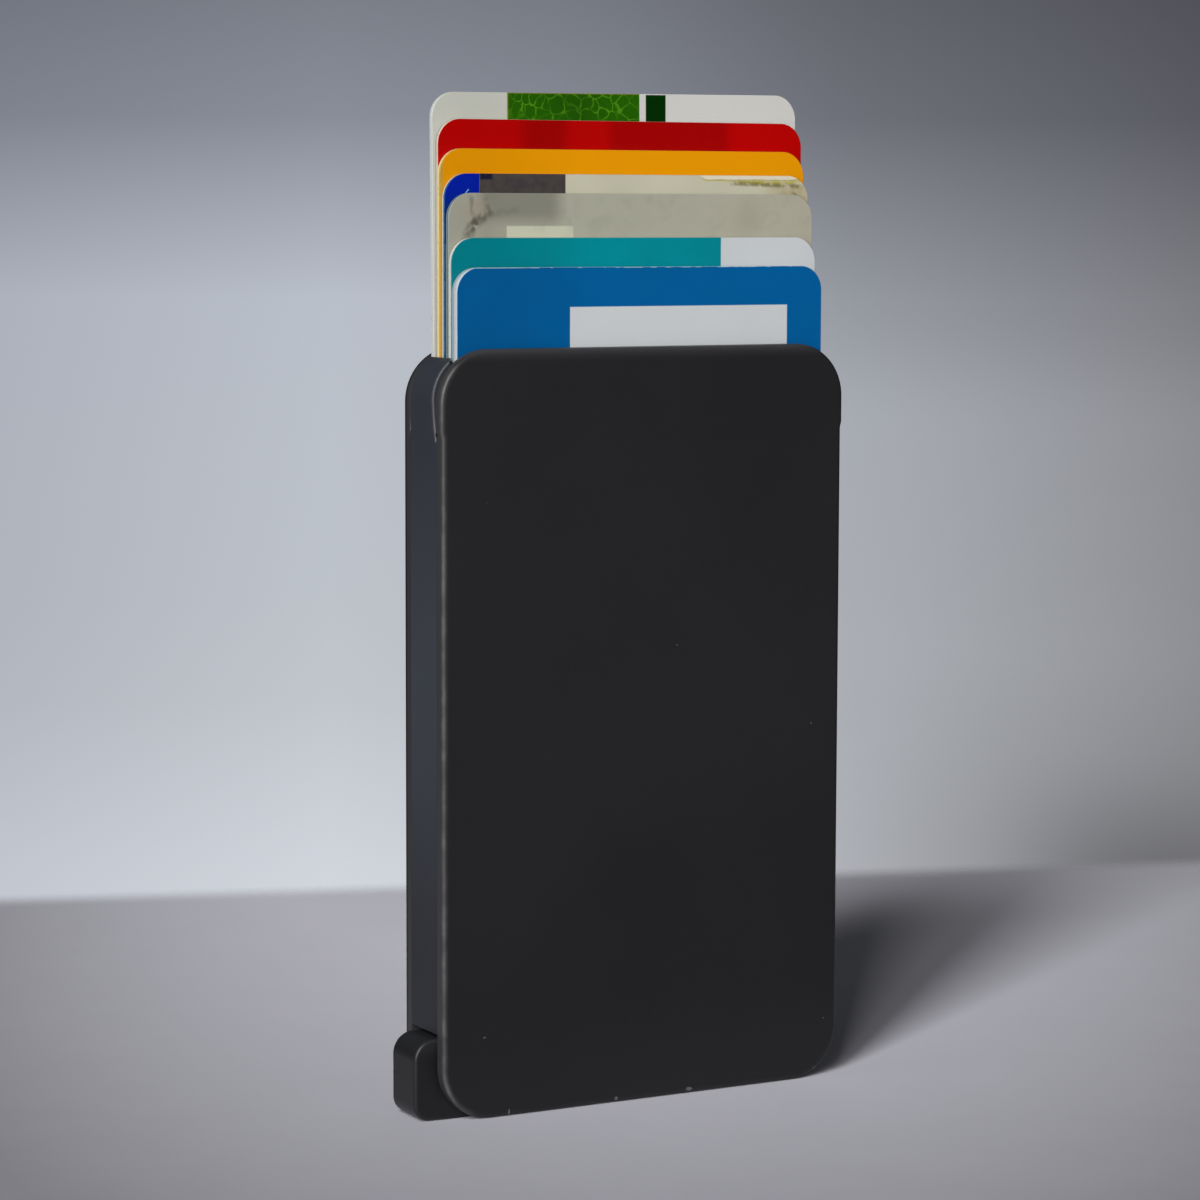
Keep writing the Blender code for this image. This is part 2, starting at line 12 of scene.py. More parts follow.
import bmesh
import bpy
from bpy.props import FloatProperty, FloatVectorProperty, IntProperty, PointerProperty
from mathutils import Matrix, Vector
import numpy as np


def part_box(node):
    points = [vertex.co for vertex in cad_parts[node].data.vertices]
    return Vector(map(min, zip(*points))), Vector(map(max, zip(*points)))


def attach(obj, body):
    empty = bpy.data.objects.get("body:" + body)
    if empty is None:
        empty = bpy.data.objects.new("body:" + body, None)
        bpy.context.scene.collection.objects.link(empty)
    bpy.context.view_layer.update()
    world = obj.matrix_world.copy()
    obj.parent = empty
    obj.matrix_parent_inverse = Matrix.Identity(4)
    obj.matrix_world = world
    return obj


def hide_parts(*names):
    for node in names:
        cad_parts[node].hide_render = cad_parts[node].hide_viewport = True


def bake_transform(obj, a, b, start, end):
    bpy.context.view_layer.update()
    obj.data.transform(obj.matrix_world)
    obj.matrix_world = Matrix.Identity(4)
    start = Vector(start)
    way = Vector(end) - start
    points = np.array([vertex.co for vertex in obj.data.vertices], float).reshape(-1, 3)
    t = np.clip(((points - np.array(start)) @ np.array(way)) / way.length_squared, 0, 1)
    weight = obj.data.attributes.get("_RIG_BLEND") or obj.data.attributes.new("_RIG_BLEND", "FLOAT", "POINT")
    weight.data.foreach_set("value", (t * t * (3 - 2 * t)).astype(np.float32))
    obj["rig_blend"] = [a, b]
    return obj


bl_info = {
    "name": "Slim Card Wallet",
    "version": (1, 0, 0),
    "blender": (4, 5, 0),
    "location": "3D View > Sidebar > Wallet",
    "description": "Finishes the pieces of a slim card wallet and sets up its studio",
    "category": "Object",
}

MM = 0.001
TINY = 0.001 * MM
LEFT, RIGHT = -1, 1
FRONT, BACK = -1, 1
# The mark that rounding leaves on edges: wear, and on plastic also a painted highlight.
WEAR_AND_HIGHLIGHT = "worn"
BLACK = (0.0, 0.0, 0.0)
SQUARE = 60  # degrees between faces, above which an edge counts as square
DENTED = 35  # the same for the edge of a dent
CROWN = 60  # degrees that a wall's top goes round the case's corner
CREASE = 50  # degrees above which an edge stays sharp when a piece is shaded
FLAT = 0.05  # degrees below which two faces count as one flat face
WIRE_SIDES = 16
RIM_FULLNESS = 0.68  # the covers' rims are a little fuller than a round edge, at 0.5

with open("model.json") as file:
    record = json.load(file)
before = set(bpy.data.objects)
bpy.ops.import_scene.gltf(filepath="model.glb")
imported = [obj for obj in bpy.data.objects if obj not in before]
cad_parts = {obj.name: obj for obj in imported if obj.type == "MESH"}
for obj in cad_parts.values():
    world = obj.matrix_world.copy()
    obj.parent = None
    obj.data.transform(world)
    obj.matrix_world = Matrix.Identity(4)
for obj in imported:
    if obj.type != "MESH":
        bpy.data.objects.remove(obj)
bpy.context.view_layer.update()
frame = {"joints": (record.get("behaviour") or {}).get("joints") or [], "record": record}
RECORD = frame["record"]
BODY_OF = {node: body for body, nodes in RECORD["behaviour"]["bodies"].items() for node in nodes}
CARD_NODES = sorted(node for node in BODY_OF if node.startswith("card_"))
LAST_STEP = len(CARD_NODES) - 2  # steps count from 0, and the first two cards share one
LEVER_JOINT = next(joint for joint in frame["joints"] if joint["name"] == "lever_press")
PIVOT = Vector(LEVER_JOINT["pos_m"])
LEVER_LIFT = math.radians(LEVER_JOINT["range_deg"][1])


def length(name, description, value):
    """A length property, given in millimetres."""
    return FloatProperty(name=name, description=description, default=value * MM, unit="LENGTH")


def angle(name, description, value):
    """An angle property, given in degrees."""
    return FloatProperty(
        name=name, description=description, default=math.radians(value), unit="ROTATION"
    )


def power(name, description, value):
    """A lamp's power, in watts."""
    return FloatProperty(name=name, description=description, default=value, unit="POWER")


def color(name, description, value):
    """A colour property in linear light."""
    return FloatVectorProperty(
        name=name, description=description, default=value, size=3, min=0, max=1, subtype="COLOR"
    )


class WalletCaseSettings(bpy.types.PropertyGroup):
    """Sizes of the moulded case."""

    corner_radius: length("Corner radius", "Radius of the case's four corners", 7.0)
    front_rim: length("Front rim", "Rounding of the front cover's outer edge", 1.0)
    back_rim: length("Back rim", "Rounding of the back cover's outer edge", 0.35)
    lip_height: length("Lip height", "Height of the covers' free lips below the mouth", 10.4)
    lip_flare: length("Lip flare", "How far the front lip stands out on each side", 0.2)
    flare_run: length("Flare run", "Height over which a lip comes out", 0.8)
    lead_in: length("Lead-in", "Rounding of the covers' inner edge at the mouth", 0.3)
    wall: length("Wall", "Thickness of the side and bottom walls", 1.5)
    seam: length("Seam", "Gap between a wall and a cover", 0.05)
    dent_edge: length("Dent edge", "Rounding of the edges of the dents in the walls", 0.4)
    front_dent: length("Front dent", "Depth of the long dent beside the front lip", 1.17)
    front_dent_height: length("Front dent height", "Height of the long dent's middle", 93.8)
    front_dent_half: length("Front dent half", "Half the long dent's length", 7.1)
    back_dent: length("Back dent", "Depth of the shallow dent beside the back lip", 0.2)
    back_dent_height: length("Back dent height", "Height of the shallow dent's middle", 87.4)
    back_dent_half: length("Back dent half", "Half the shallow dent's length", 2.4)
    left_top: length("Left top", "How near the left wall's top comes to the middle", 26.9)
    left_rise: length("Left rise", "How far the left wall's crown stands above the lips' corner", 0.3)
    tongue_inset: length("Tongue inset", "Distance from the outside to a wall's tongue", 0.45)
    tongue_width: length("Tongue width", "Thickness of a wall's tongue", 0.6)
    tongue_drop: length("Tongue drop", "Distance from the mouth down to the tongues", 13.0)
    tongue_setback: length("Tongue setback", "Distance from a wall's end to its tongue", 1.6)
    tongue_play: length("Tongue play", "Clearance round a tongue in its groove", 0.12)
    pocket_play: length("Pocket play", "Clearance round a felt strip in its pocket", 0.15)
    pocket_corner: length("Pocket corner", "Corner radius of the felt strips", 1.0)
    felt_edge: length("Felt edge", "Rounding of the felt strips' cut edge", 0.14)


class WalletLeverSettings(bpy.types.PropertyGroup):
    """Sizes of the lever, its rests, its pin and its spring."""

    hub_radius: length("Hub radius", "Radius of the lever's hub", 3.5)
    tab_drop: length("Tab drop", "How far the tab's top lies below the fingers' top", 1.3)
    tab_top_radius: length("Tab top radius", "Upper corner of the thumb tab", 2.8)
    tab_foot_radius: length("Tab foot radius", "Lower corner of the thumb tab", 2.2)
    tab_fillet: length("Tab fillet", "Rounding of the thumb tab's edges", 0.5)
    heel_reach: length("Heel reach", "How far the heel reaches past the pivot", 2.6)
    heel_radius: length("Heel radius", "Lower corner of the heel", 1.0)
    heel_height: length("Heel height", "Where the fingers' underside leaves the heel", 4.4)
    shortest_finger: length("Shortest finger", "Reach of the first step's fingers", 18.0)
    tip_depth: length("Tip depth", "Depth of the fingers at their tips", 2.4)
    nose_radius: length("Nose radius", "Rounding of each finger's upper tip", 0.8)
    stop_gap: length("Stop gap", "Gap between the sole and its stop at full lift", 0.3)
    rib: length("Rib", "Thickness of the rests beside the fingers", 1.2)
    rib_ahead: length("Rib ahead", "Distance from a finger's tip to its rest", 0.5)
    rib_play: length("Rib play", "Clearance between a rest and the fingers", 0.3)
    pin_play: length("Pin play", "Clearance round the pivot pin", 0.1)
    pin_end_play: length("Pin end play", "Clearance at each end of the pin", 0.15)
    pin_chamfer: length("Pin chamfer", "Chamfer on the pin's ends", 0.15)
    wire: length("Wire", "Diameter of the spring's wire", 0.45)
    coil_radius: length("Coil radius", "Radius of the spring's coil", 2.0)
    coil_pitch: length("Coil pitch", "Distance between the spring's turns", 0.92)
    coil_turns: FloatProperty(
        name="Coil turns", description="Turns of the coil", default=2.25, subtype="UNSIGNED"
    )
    arm: length("Arm", "Length of the spring's arm in the lever", 5.0)
    tang: length("Tang", "Depth of the spring's tang in the back cover", 0.6)
    bend: length("Bend", "Radius of the bend between coil and tang", 0.45)
    spring_play: length("Spring play", "Clearance round the spring in the lever", 0.3)


class WalletCardSettings(bpy.types.PropertyGroup):
    """Sizes and inks of the cards."""

    corner_radius: length("Corner radius", "Corner radius of a standard card", 3.18)
    edge_radius: length("Edge radius", "Rounding of a card's punched edge", 0.07)
    nudges: FloatVectorProperty(
        name="Nudges",
        description="How far each card has slipped to the right in the stack",
        size=8,
        default=[slip * MM for slip in (0.0, 0.33, -0.1, 0.15, -0.2, -0.2, 0.0, -0.2)],
        subtype="NONE",
        unit="LENGTH",
    )
    lean: angle("Lean", "How far the last card leans to the left", 0.4)
    core: color("Core", "The white plastic inside a card", (0.66, 0.66, 0.63))
    blue_core: color("Blue core", "Core of the blue card", (0.46, 0.56, 0.66))
    cool_core: color("Cool core", "Core of the last card and of the laminated one", (0.58, 0.63, 0.62))
    warm_core: color("Warm core", "Core of the red card", (0.62, 0.55, 0.42))
    cream: color("Cream", "Core of the amber card", (0.80, 0.66, 0.30))
    # Darker and a little yellower than the right of the same front: the darkening is painted shade.
    yellowed_white_and_shade: color("Old white", "Front of the last card", (0.56, 0.57, 0.51))
    clean_white: color("Clean white", "Front of the last card, to the right", (0.645, 0.64, 0.61))
    blue: color("Blue", "Ink of the blue card", (0.0, 0.112, 0.34))
    bared: color("Bared", "Upper edge of the blue card, worn bare", (0.50, 0.66, 0.68))
    window: color("Window", "Bare windows and ends on the printed cards", (0.61, 0.64, 0.66))
    white: color("White", "Plain white stock", (0.56, 0.57, 0.58))
    teal: color("Teal", "Ink of the teal card", (0.0, 0.265, 0.32))
    frost: color("Frost", "Frosted translucent plastic", (0.40, 0.40, 0.325))
    warm_frost: color("Warm frost", "Frosted plastic with light behind it", (0.48, 0.44, 0.345))
    frost_edge: color("Frost edge", "Edge of the frosted card", (0.24, 0.31, 0.30))
    frost_window: color("Frost window", "Lighter window of the frosted card", (0.55, 0.56, 0.43))
    skin_tone: color("Skin tone", "Warm stain on the frosted card", (0.40, 0.34, 0.27))
    smudge: color("Smudge", "Grime on worn plastic", (0.10, 0.095, 0.075))
    laminate: color("Laminate", "Aged laminate over off-white paper", (0.58, 0.56, 0.43))
    lifted: color("Lifted", "Laminate that has lifted", (0.80, 0.73, 0.55))
    beige: color("Beige", "Stain below the lifted laminate", (0.43, 0.36, 0.21))
    blot: color("Blot", "Dark blot beside the corner block", (0.01, 0.01, 0.03))
    scratch: color("Scratch", "Pale scratch on the corner block", (0.25, 0.55, 0.70))
    peel: color("Peel", "Yellowed glue where laminate lifts", (0.50, 0.43, 0.10))
    old_glue: color("Old glue", "Dark glue at the corner", (0.16, 0.13, 0.012))
    deep_blue: color("Deep blue", "Corner block of the laminated card", (0.0, 0.012, 0.33))
    # Painted shade: the corner block's lower part, near the frosted card in front.
    shaded_deep_blue: color("Deeper blue", "Lower part of the corner block", (0.0, 0.02, 0.13))
    # Also painted shade on the laminated card's left margin below the corner block.
    navy_ink_and_shade: color("Navy", "Dark edge of the laminated card", (0.016, 0.072, 0.155))
    slate: color("Slate", "Dark block of the laminated card", (0.055, 0.043, 0.048))
    warm_slate: color("Warm slate", "Paler patches of the dark block", (0.075, 0.066, 0.056))
    amber: color("Amber", "Ink of the amber card", (0.84, 0.325, 0.0))
    # Also used for painted shade along the amber card's front left edge.
    amber_edge_and_shade: color("Brown", "Edge layer and rubbed edge of the amber card", (0.40, 0.29, 0.06))
    red: color("Red", "Ink of the red card", (0.45, 0.0, 0.0))
    # The red card's ink made brighter by painted light, to the right.
    lit_red: color("Bright red", "Ink of the red card, to the right", (0.49, 0.0, 0.0))
    green: color("Green", "Ground of the green block", (0.016, 0.115, 0.0))
    green_line: color("Green line", "Fine lines on the green block", (0.10, 0.30, 0.010))
    ochre: color("Ochre", "Bleeding edge of the green block", (0.22, 0.20, 0.02))
    # Painted shade: the back of the red card's edge, beside the next card.
    shaded_red_edge: color("Mauve", "Back layer of the red card's edge", (0.30, 0.23, 0.26))
    dull_teal: color("Dull teal", "Front layer of the teal card's edge", (0.12, 0.25, 0.26))
    # Painted shade: the white card's edge, between the cards beside it.
    shaded_white_edge: color("Grey edge", "Edge of the plain white card", (0.31, 0.38, 0.42))
    dark_green: color("Dark green", "Bar beside the green block", (0.0, 0.026, 0.0))
    stripe: color("Stripe", "Magnetic stripe on the backs", (0.012, 0.011, 0.010))


class WalletFinishSettings(bpy.types.PropertyGroup):
    """Colours and grain of the plastic, felt and steel."""

    plastic: color("Plastic", "Anthracite of the covers", (0.0098, 0.0098, 0.0108))
    # The covers' plastic painted paler and bluer, as painted light and a painted cool reflection.
    lit_wall_plastic: color("Wall plastic", "Anthracite of the walls", (0.0125, 0.0141, 0.0180))
    lever_plastic: color("Lever plastic", "Anthracite of the lever", (0.0083, 0.0086, 0.0100))
    # Also the colour of the painted highlight along worn edges.
    scuff_and_highlight: color("Scuff", "Plastic where it is rubbed or nicked", (0.13, 0.13, 0.13))
    grain: length("Grain", "Size of the plastic's eroded grain", 0.3)
    felt: color("Felt", "Pressed black felt", (0.010, 0.010, 0.011))
    steel: color("Steel", "Ground and drawn steel", (0.55, 0.56, 0.57))


class WalletStageSettings(bpy.types.PropertyGroup):
    """The camera, the lights, the floor and what lies behind it."""

    camera_x: length("Camera X", "Camera's place from left to right", -237.23)
    camera_y: length("Camera Y", "Camera's place from front to back", -425.32)
    camera_z: length("Camera Z", "Camera's height", 116.45)
    azimuth: angle("Azimuth", "Turn of the camera about the upright axis", -28.74)
    pitch: angle("Pitch", "How far the camera looks down", 5.97)
    roll: angle("Roll", "Turn of the camera about its own axis", 0.16)
    lens: FloatProperty(
        name="Lens", description="Focal length in millimetres", default=112.05, unit="CAMERA"
    )
    floor: color("Floor", "Pale grey floor", (0.675, 0.675, 0.762))
    key_power: power("Key power", "Power of the window light", 31.2)
    side_power: power("Side power", "Power of the window's other pane", 6.0)
    fill_power: power("Fill power", "Power of the soft fill", 0.8)
    glow: FloatProperty(
        name="Glow", description="Strength of the room's light", default=0.024, subtype="FACTOR"
    )
    room: color("Room", "Colour of the room's light", (0.90, 0.93, 1.0))
    curve_steps: IntProperty(
        name="Curve steps",
        description="Facets in a quarter turn",
        default=24,
        min=8,
        subtype="UNSIGNED",
    )


# Shader values


def math_node(operation, swapped=False):
    """A method for shader values that adds one Math node, with its terms swapped or not."""

    def method(value, *other):
        terms = (*other, value) if swapped else (value, *other)
        return value.nodes.value("ShaderNodeMath", {"operation": operation}, dict(enumerate(terms)))

    return method


def scaled(given, factor):
    """A colour made brighter or darker by a factor."""
    return [part * factor for part in given]


class Shade:
    """One value in a shader. Sums written with it add Math nodes."""

    def __init__(self, nodes, socket):
        self.nodes = nodes
        self.socket = socket

    __add__, __radd__ = math_node("ADD"), math_node("ADD", swapped=True)
    __sub__, __rsub__ = math_node("SUBTRACT"), math_node("SUBTRACT", swapped=True)
    __mul__, __rmul__ = math_node("MULTIPLY"), math_node("MULTIPLY", swapped=True)
    __truediv__ = math_node("DIVIDE")
    __pow__ = math_node("POWER")
    __abs__ = math_node("ABSOLUTE")
    at_least = math_node("MAXIMUM")
    at_most = math_node("MINIMUM")

    def rise(self, start, end):
        """A smooth step from 0 at start to 1 at end; it falls where end is the smaller."""
        return self.nodes.value(
            "ShaderNodeMapRange",
            {"interpolation_type": "SMOOTHSTEP"},
            {"Value": self, "From Min": start, "From Max": end},
        )

    def within(self, low, high, soft):
        """1 between low and high, with edges as soft as given."""
        return self.rise(low - soft, low + soft) * self.rise(high + soft, high - soft)


class Nodes:
    """The nodes of one material or world, added one by one."""

    def __init__(self, tree):
        self.tree = tree
        tree.nodes.clear()

    def add(self, kind, settings=None, sockets=None):
        """Add a node: its settings are made first, then its sockets are set or linked."""
        node = self.tree.nodes.new(kind)
        for name, setting in (settings or {}).items():
            if name == "stops":
                self.set_stops(node.color_ramp.elements, setting)
            else:
                setattr(node, name, setting)
        for name, given in (sockets or {}).items():
            if isinstance(given, Shade):
                self.tree.links.new(given.socket, node.inputs[name])
            else:
                node.inputs[name].default_value = given
        return node

    def set_stops(self, elements, stops):
        """Give a colour ramp its stops, each a position and a colour."""
        while len(elements) < len(stops):
            elements.new(1)
        for element, (position, stop_color) in zip(elements, stops):
            element.position = position
            element.color = (*stop_color, 1)

    def value(self, kind, settings=None, sockets=None, output=0):
        """Add a node and give one of its outputs."""
        return Shade(self, self.add(kind, settings, sockets).outputs[output])

    def here(self):
        """The surface's place on the piece."""
        return self.value("ShaderNodeTexCoord", output="Object")

    def apart(self, vector):
        """A vector's X, Y and Z."""
        node = self.add("ShaderNodeSeparateXYZ", sockets={"Vector": vector})
        return [Shade(self, output) for output in node.outputs]

    def place(self):
        """The surface's place on the piece, as X, Y and Z."""
        return self.apart(self.here())

    def spot(self, x, y, z):
        """A place put together from three values."""
        return self.value("ShaderNodeCombineXYZ", sockets={"X": x, "Y": y, "Z": z})

    def worn(self):
        """How worn an edge of the piece is, as its shaping marked it; the mark also paints highlight."""
        return self.value("ShaderNodeAttribute", {"attribute_name": WEAR_AND_HIGHLIGHT}, output="Fac")

    def noise(self, size, detail=2.0, at=None, distortion=0.0):
        """Smooth noise about a half, in lumps of about the given size in millimetres."""
        sockets = {"Vector": at or self.here(), "Scale": 1 / (size * MM), "Detail": detail}
        return self.value("ShaderNodeTexNoise", sockets={**sockets, "Distortion": distortion})

    def specks(self, spacing, size, rarity):
        """Small round specks, one in a cell of the given spacing, in few of the cells."""
        sockets = {"Vector": self.here(), "Scale": 1 / (spacing * MM)}
        cells = self.add("ShaderNodeTexVoronoi", sockets=sockets)
        shades = {"Color": Shade(self, cells.outputs["Color"])}
        chance = self.value("ShaderNodeSeparateColor", sockets=shades)
        near = Shade(self, cells.outputs["Distance"]).rise(size / spacing, size / spacing / 2)
        return near * chance.rise(rarity, rarity + 0.02)

    def web(self, size, wander):
        """A web of cells of about the given size: 0 on its threads and more inside."""
        at, scale = self.here(), 1 / (size * MM)
        bend = self.value("ShaderNodeTexNoise", sockets={"Vector": at, "Scale": scale}, output=1)
        push = {0: bend, "Scale": size * MM * wander}
        push = self.value("ShaderNodeVectorMath", {"operation": "SCALE"}, push)
        moved = self.value("ShaderNodeVectorMath", {"operation": "ADD"}, {0: at, 1: push})
        kind = {"feature": "DISTANCE_TO_EDGE"}
        return self.value("ShaderNodeTexVoronoi", kind, {"Vector": moved, "Scale": scale})

    def ramp(self, given, low, high, stops):
        """Colours along a value, from stops that are shares of its range."""
        span = {"Value": given, "From Min": low, "From Max": high}
        share = self.value("ShaderNodeMapRange", sockets=span)
        return self.value("ShaderNodeValToRGB", {"stops": stops}, {"Fac": share})

    def blend(self, factor, first, second):
        """The first colour where the factor is 0 and the second where it is 1."""
        sockets = {0: factor, 6: self.tint(first), 7: self.tint(second)}
        return self.value("ShaderNodeMix", {"data_type": "RGBA"}, sockets, output=2)

    def layers(self, ground, *prints):
        """Colours laid over a ground one by one, each given as its mask and its colour."""
        for mask, ink in prints:
            ground = self.blend(mask, ground, ink)
        return ground

    def tint(self, given):
        """A colour for a socket, from a shader value or from three numbers."""
        return given if isinstance(given, Shade) else (*given[:3], 1)

    def depth_inside(self, across, down, width, height, radius):
        """How far a place lies inside an oblong with round corners."""
        side = abs(across - width / 2) - (width / 2 - radius)
        end = abs(down - height / 2) - (height / 2 - radius)
        round_corner = (side.at_least(0) ** 2 + end.at_least(0) ** 2) ** 0.5
        return radius - round_corner - side.at_least(end).at_most(0)

    def finish(self, base, roughness, height, relief, **constants):
        """End a material in a Principled shader, its relief in millimetres."""
        bump = {"Height": height, "Distance": relief * MM, "Strength": 1.0}
        sockets = {"Base Color": self.tint(base), "Roughness": roughness, **constants}
        sockets["Normal"] = self.value("ShaderNodeBump", sockets=bump)
        shader = self.value("ShaderNodeBsdfPrincipled", sockets=sockets)
        self.add("ShaderNodeOutputMaterial", sockets={"Surface": shader})


def new_material(name):
    """An empty material and its nodes."""
    made = bpy.data.materials.new(name)
    made.use_nodes = True
    return made, Nodes(made.node_tree)


# Finishes of the case


def moulded_plastic(name, base, settings, nicks=(), rubs=(), painted_light_bands=(), wear=0.2, smooth=0.0):
    """Matt plastic with eroded grain, a little dust, rubbed edges, nicks and painted light.

    Places and sizes are in millimetres. A nick is a place across and up the piece, its width
    and its height. rubs gives the same for places where the edges are worn
    harder and get more painted highlight, and how much. painted_light_bands gives the heights
    where a paler band of painted light begins and ends, how softly and how pale. smooth is how
    much paler a cover's sides are painted than its face, as painted light on the sides.
    """
    made, nodes = new_material(name)
    x, y, z = nodes.place()
    clouds = nodes.noise(22, detail=3)
    grain = nodes.noise(settings.grain / MM, detail=3)
    pores = nodes.noise(settings.grain / MM / 3, detail=1)
    patchy = nodes.noise(3.0, detail=4).rise(0.42, 0.75)

    def away(across, up, width, height):
        """How far a place lies from the middle of an oval whose edge is 1."""
        return (((x - across * MM) / (width * MM)) ** 2 + ((z - up * MM) / (height * MM)) ** 2) ** 0.5

    # Edge wear that also paints a highlight along the edges, strongest at the listed places.
    edge_wear_and_highlight = wear
    for *oval, amount in rubs:
        edge_wear_and_highlight = edge_wear_and_highlight + away(*oval).rise(1.0, 0.6) * amount
    rubbed = nodes.specks(4.6, 0.11, 0.86) * 0.5 + nodes.worn() * (patchy * 0.5 + 0.4) * edge_wear_and_highlight
    for oval in nicks:
        ragged = nodes.noise(0.35) - 0.5
        rubbed = rubbed + (away(*oval) + ragged * 0.9).rise(1.0, 0.5) * 0.8
    rubbed = rubbed.at_most(1)
    tone = (clouds - 0.5) * 0.12 + (grain - 0.5) * 0.10 + 0.04
    # Bands of painted light.
    for low, high, soft, amount in painted_light_bands:
        tone = tone + z.within(low * MM, high * MM, soft * MM) * amount
    # Painted light: a cover's sides paler than its face.
    if smooth:
        tone = tone + abs(y).rise(5.1 * MM, 4.6 * MM) * smooth
    skin = nodes.layers(base, (tone.at_least(0), scaled(base, 5)), (rubbed, settings.scuff_and_highlight))
    roughness = 0.41 + (clouds - 0.5) * 0.14 + (pores - 0.5) * 0.10 - rubbed * 0.10
    height = grain * 0.7 + pores * 0.3
    nodes.finish(skin, roughness, height, 0.010, **{"Specular IOR Level": 0.3})
    return made


def pressed_felt(name, base):
    """Matted black fibres."""
    made, nodes = new_material(name)
    x, y, z = nodes.place()
    fibres = nodes.noise(0.14, detail=4, at=nodes.spot(x * 0.35, y, z), distortion=1.4)
    fuzz = nodes.blend(fibres.rise(0.45, 0.75), base, (0.045, 0.045, 0.048))
    height = fibres * 0.7 + nodes.noise(1.2, detail=3) * 0.3
    nodes.finish(fuzz, 0.96, height, 0.12, **{"Sheen Weight": 0.35})
    return made


def bright_steel(name, base, along_wire):
    """Ground steel, or drawn wire, whose fine marks run along one direction."""
    made, nodes = new_material(name)
    x, y, z = nodes.place()
    marks = nodes.noise(0.2, detail=3, at=nodes.spot(x, y * (0.05 if along_wire else 6.0), z))
    worn = nodes.worn()
    tone = nodes.layers(base, (marks, scaled(base, 0.7)), (worn * 0.5, scaled(base, 1.3)))
    nodes.finish(tone, 0.24 + marks * 0.14 - worn * 0.08, marks, 0.004, Metallic=1.0)
    return made


# Finishes of the cards


def card_nudge(node, cards):
    """How far a card has slipped to the right in the stack."""
    return cards.nudges[CARD_NODES.index(node)]


def card_lean(node, cards):
    """How far a card leans to the left: only the last one does."""
    return cards.lean if node == CARD_NODES[-1] else 0.0


class CardPrint:
    """One card's material while it is printed.

    Places are millimetres from the card's upper left corner, to the right and down.
    """

    def __init__(self, node, cards):
        self.made, self.nodes = new_material(node)
        self.cards = cards
        low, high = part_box(node)
        x, y, z = self.nodes.place()
        self.width, height = high.x - low.x, high.z - low.z
        lean = card_lean(node, cards)
        right = x - high.x - card_nudge(node, cards)
        up = z - high.z
        self.across = right * math.cos(lean) + up * math.sin(lean) + self.width
        self.down = right * math.sin(lean) - up * math.cos(lean)
        half = (high.y - low.y) / 2
        towards_back = y - (low.y + high.y) / 2
        bare, full = 0.045 * MM, 0.02 * MM
        self.on_front = towards_back.rise(bare - half, full - half)
        self.on_back = towards_back.rise(half - bare, half - full)
        self.through = (towards_back + half) / (2 * half)
        self.depth = self.nodes.depth_inside(
            self.across, self.down, self.width, height, cards.corner_radius
        )
        self.ragged = self.nodes.noise(0.9, detail=4)
        self.streaks = self.nodes.noise(0.25, detail=2, at=self.nodes.spot(x, y, z * 0.06))
        self.clouds = self.nodes.noise(9, detail=3)

    def from_left(self, start, end):
        """A smooth step from 0 to 1 between two distances from the left edge."""
        return self.across.rise(start * MM, end * MM)

    def from_top(self, start, end):
        """A smooth step from 0 to 1 between two distances from the upper edge."""
        return self.down.rise(start * MM, end * MM)

    def band(self, left, right, soft):
        """An upright band between two distances from the left edge."""
        return self.across.within(left * MM, right * MM, soft * MM)

    def block(self, left, right, top, bottom, soft=0.05):
        """A printed oblong, by its distances from the left and the upper edge."""
        return self.band(left, right, soft) * self.down.within(top * MM, bottom * MM, soft * MM)

    def stroke(self, start, end, width, soft):
        """A soft straight line between two places."""
        x1, d1, x2, d2 = (part * MM for part in (*start, *end))
        width, soft = width * MM, soft * MM
        run, fall = x2 - x1, d2 - d1
        reach = math.hypot(run, fall)
        along = ((self.across - x1) * run + (self.down - d1) * fall) / reach
        beside = abs((self.across - x1) * fall - (self.down - d1) * run) / reach
        return along.within(0, reach, soft) * beside.rise(width, width - soft)

    def shade(self, ink, amount=0.05, painted_left_shade=0.14):
        """The ink of a card: a little uneven, and darker towards the left edge as painted shade."""
        uneven = self.nodes.blend(self.clouds.rise(0.35, 0.75), ink, scaled(ink, 1 - 3 * amount))
        return self.nodes.blend(self.from_left(24, 4) * painted_left_shade, uneven, BLACK)

    def striped_back(self):
        """A plain back with the standard magnetic stripe along its right edge."""
        mark = self.across.within(self.width - 16.2 * MM, self.width - 3.6 * MM, 0.04 * MM)
        return self.nodes.blend(mark, self.cards.white, self.cards.stripe)

    def finish(self, front, back, core, layer, between, relief=0, dirt=0, wear=0.03):
        """Put front and back print on the core.

        The punched edge shows the core with a layer of ink between two shares of the card's
        thickness, counted from the front. wear is how far in the print is rubbed off.
        """
        nodes, smudge = self.nodes, self.cards.smudge
        inked = self.through.within(*between, 0.06) * (0.7 + nodes.noise(0.9, detail=3) * 0.5)
        nicked = nodes.noise(0.45, detail=2).rise(0.60, 0.72) * 0.30
        edge = nodes.layers(core, (inked.at_most(1), layer), (nicked, smudge))
        reach = wear * MM
        rubbed = (self.ragged * reach * 2 - self.depth).rise(reach * 0.5, reach * 0.75)
        printed = self.on_front * (1 - rubbed)
        face = nodes.layers(edge, (self.on_back, back), (printed, front), (dirt, smudge))
        scratches = self.streaks.rise(0.62, 0.72)
        roughness = 0.34 + (self.clouds - 0.5) * 0.16 + scratches * 0.12
        height = self.clouds * 0.5 - scratches * 0.05 + relief
        nodes.finish(face, roughness, height, 0.02, **{"Specular IOR Level": 0.2})
        return self.made


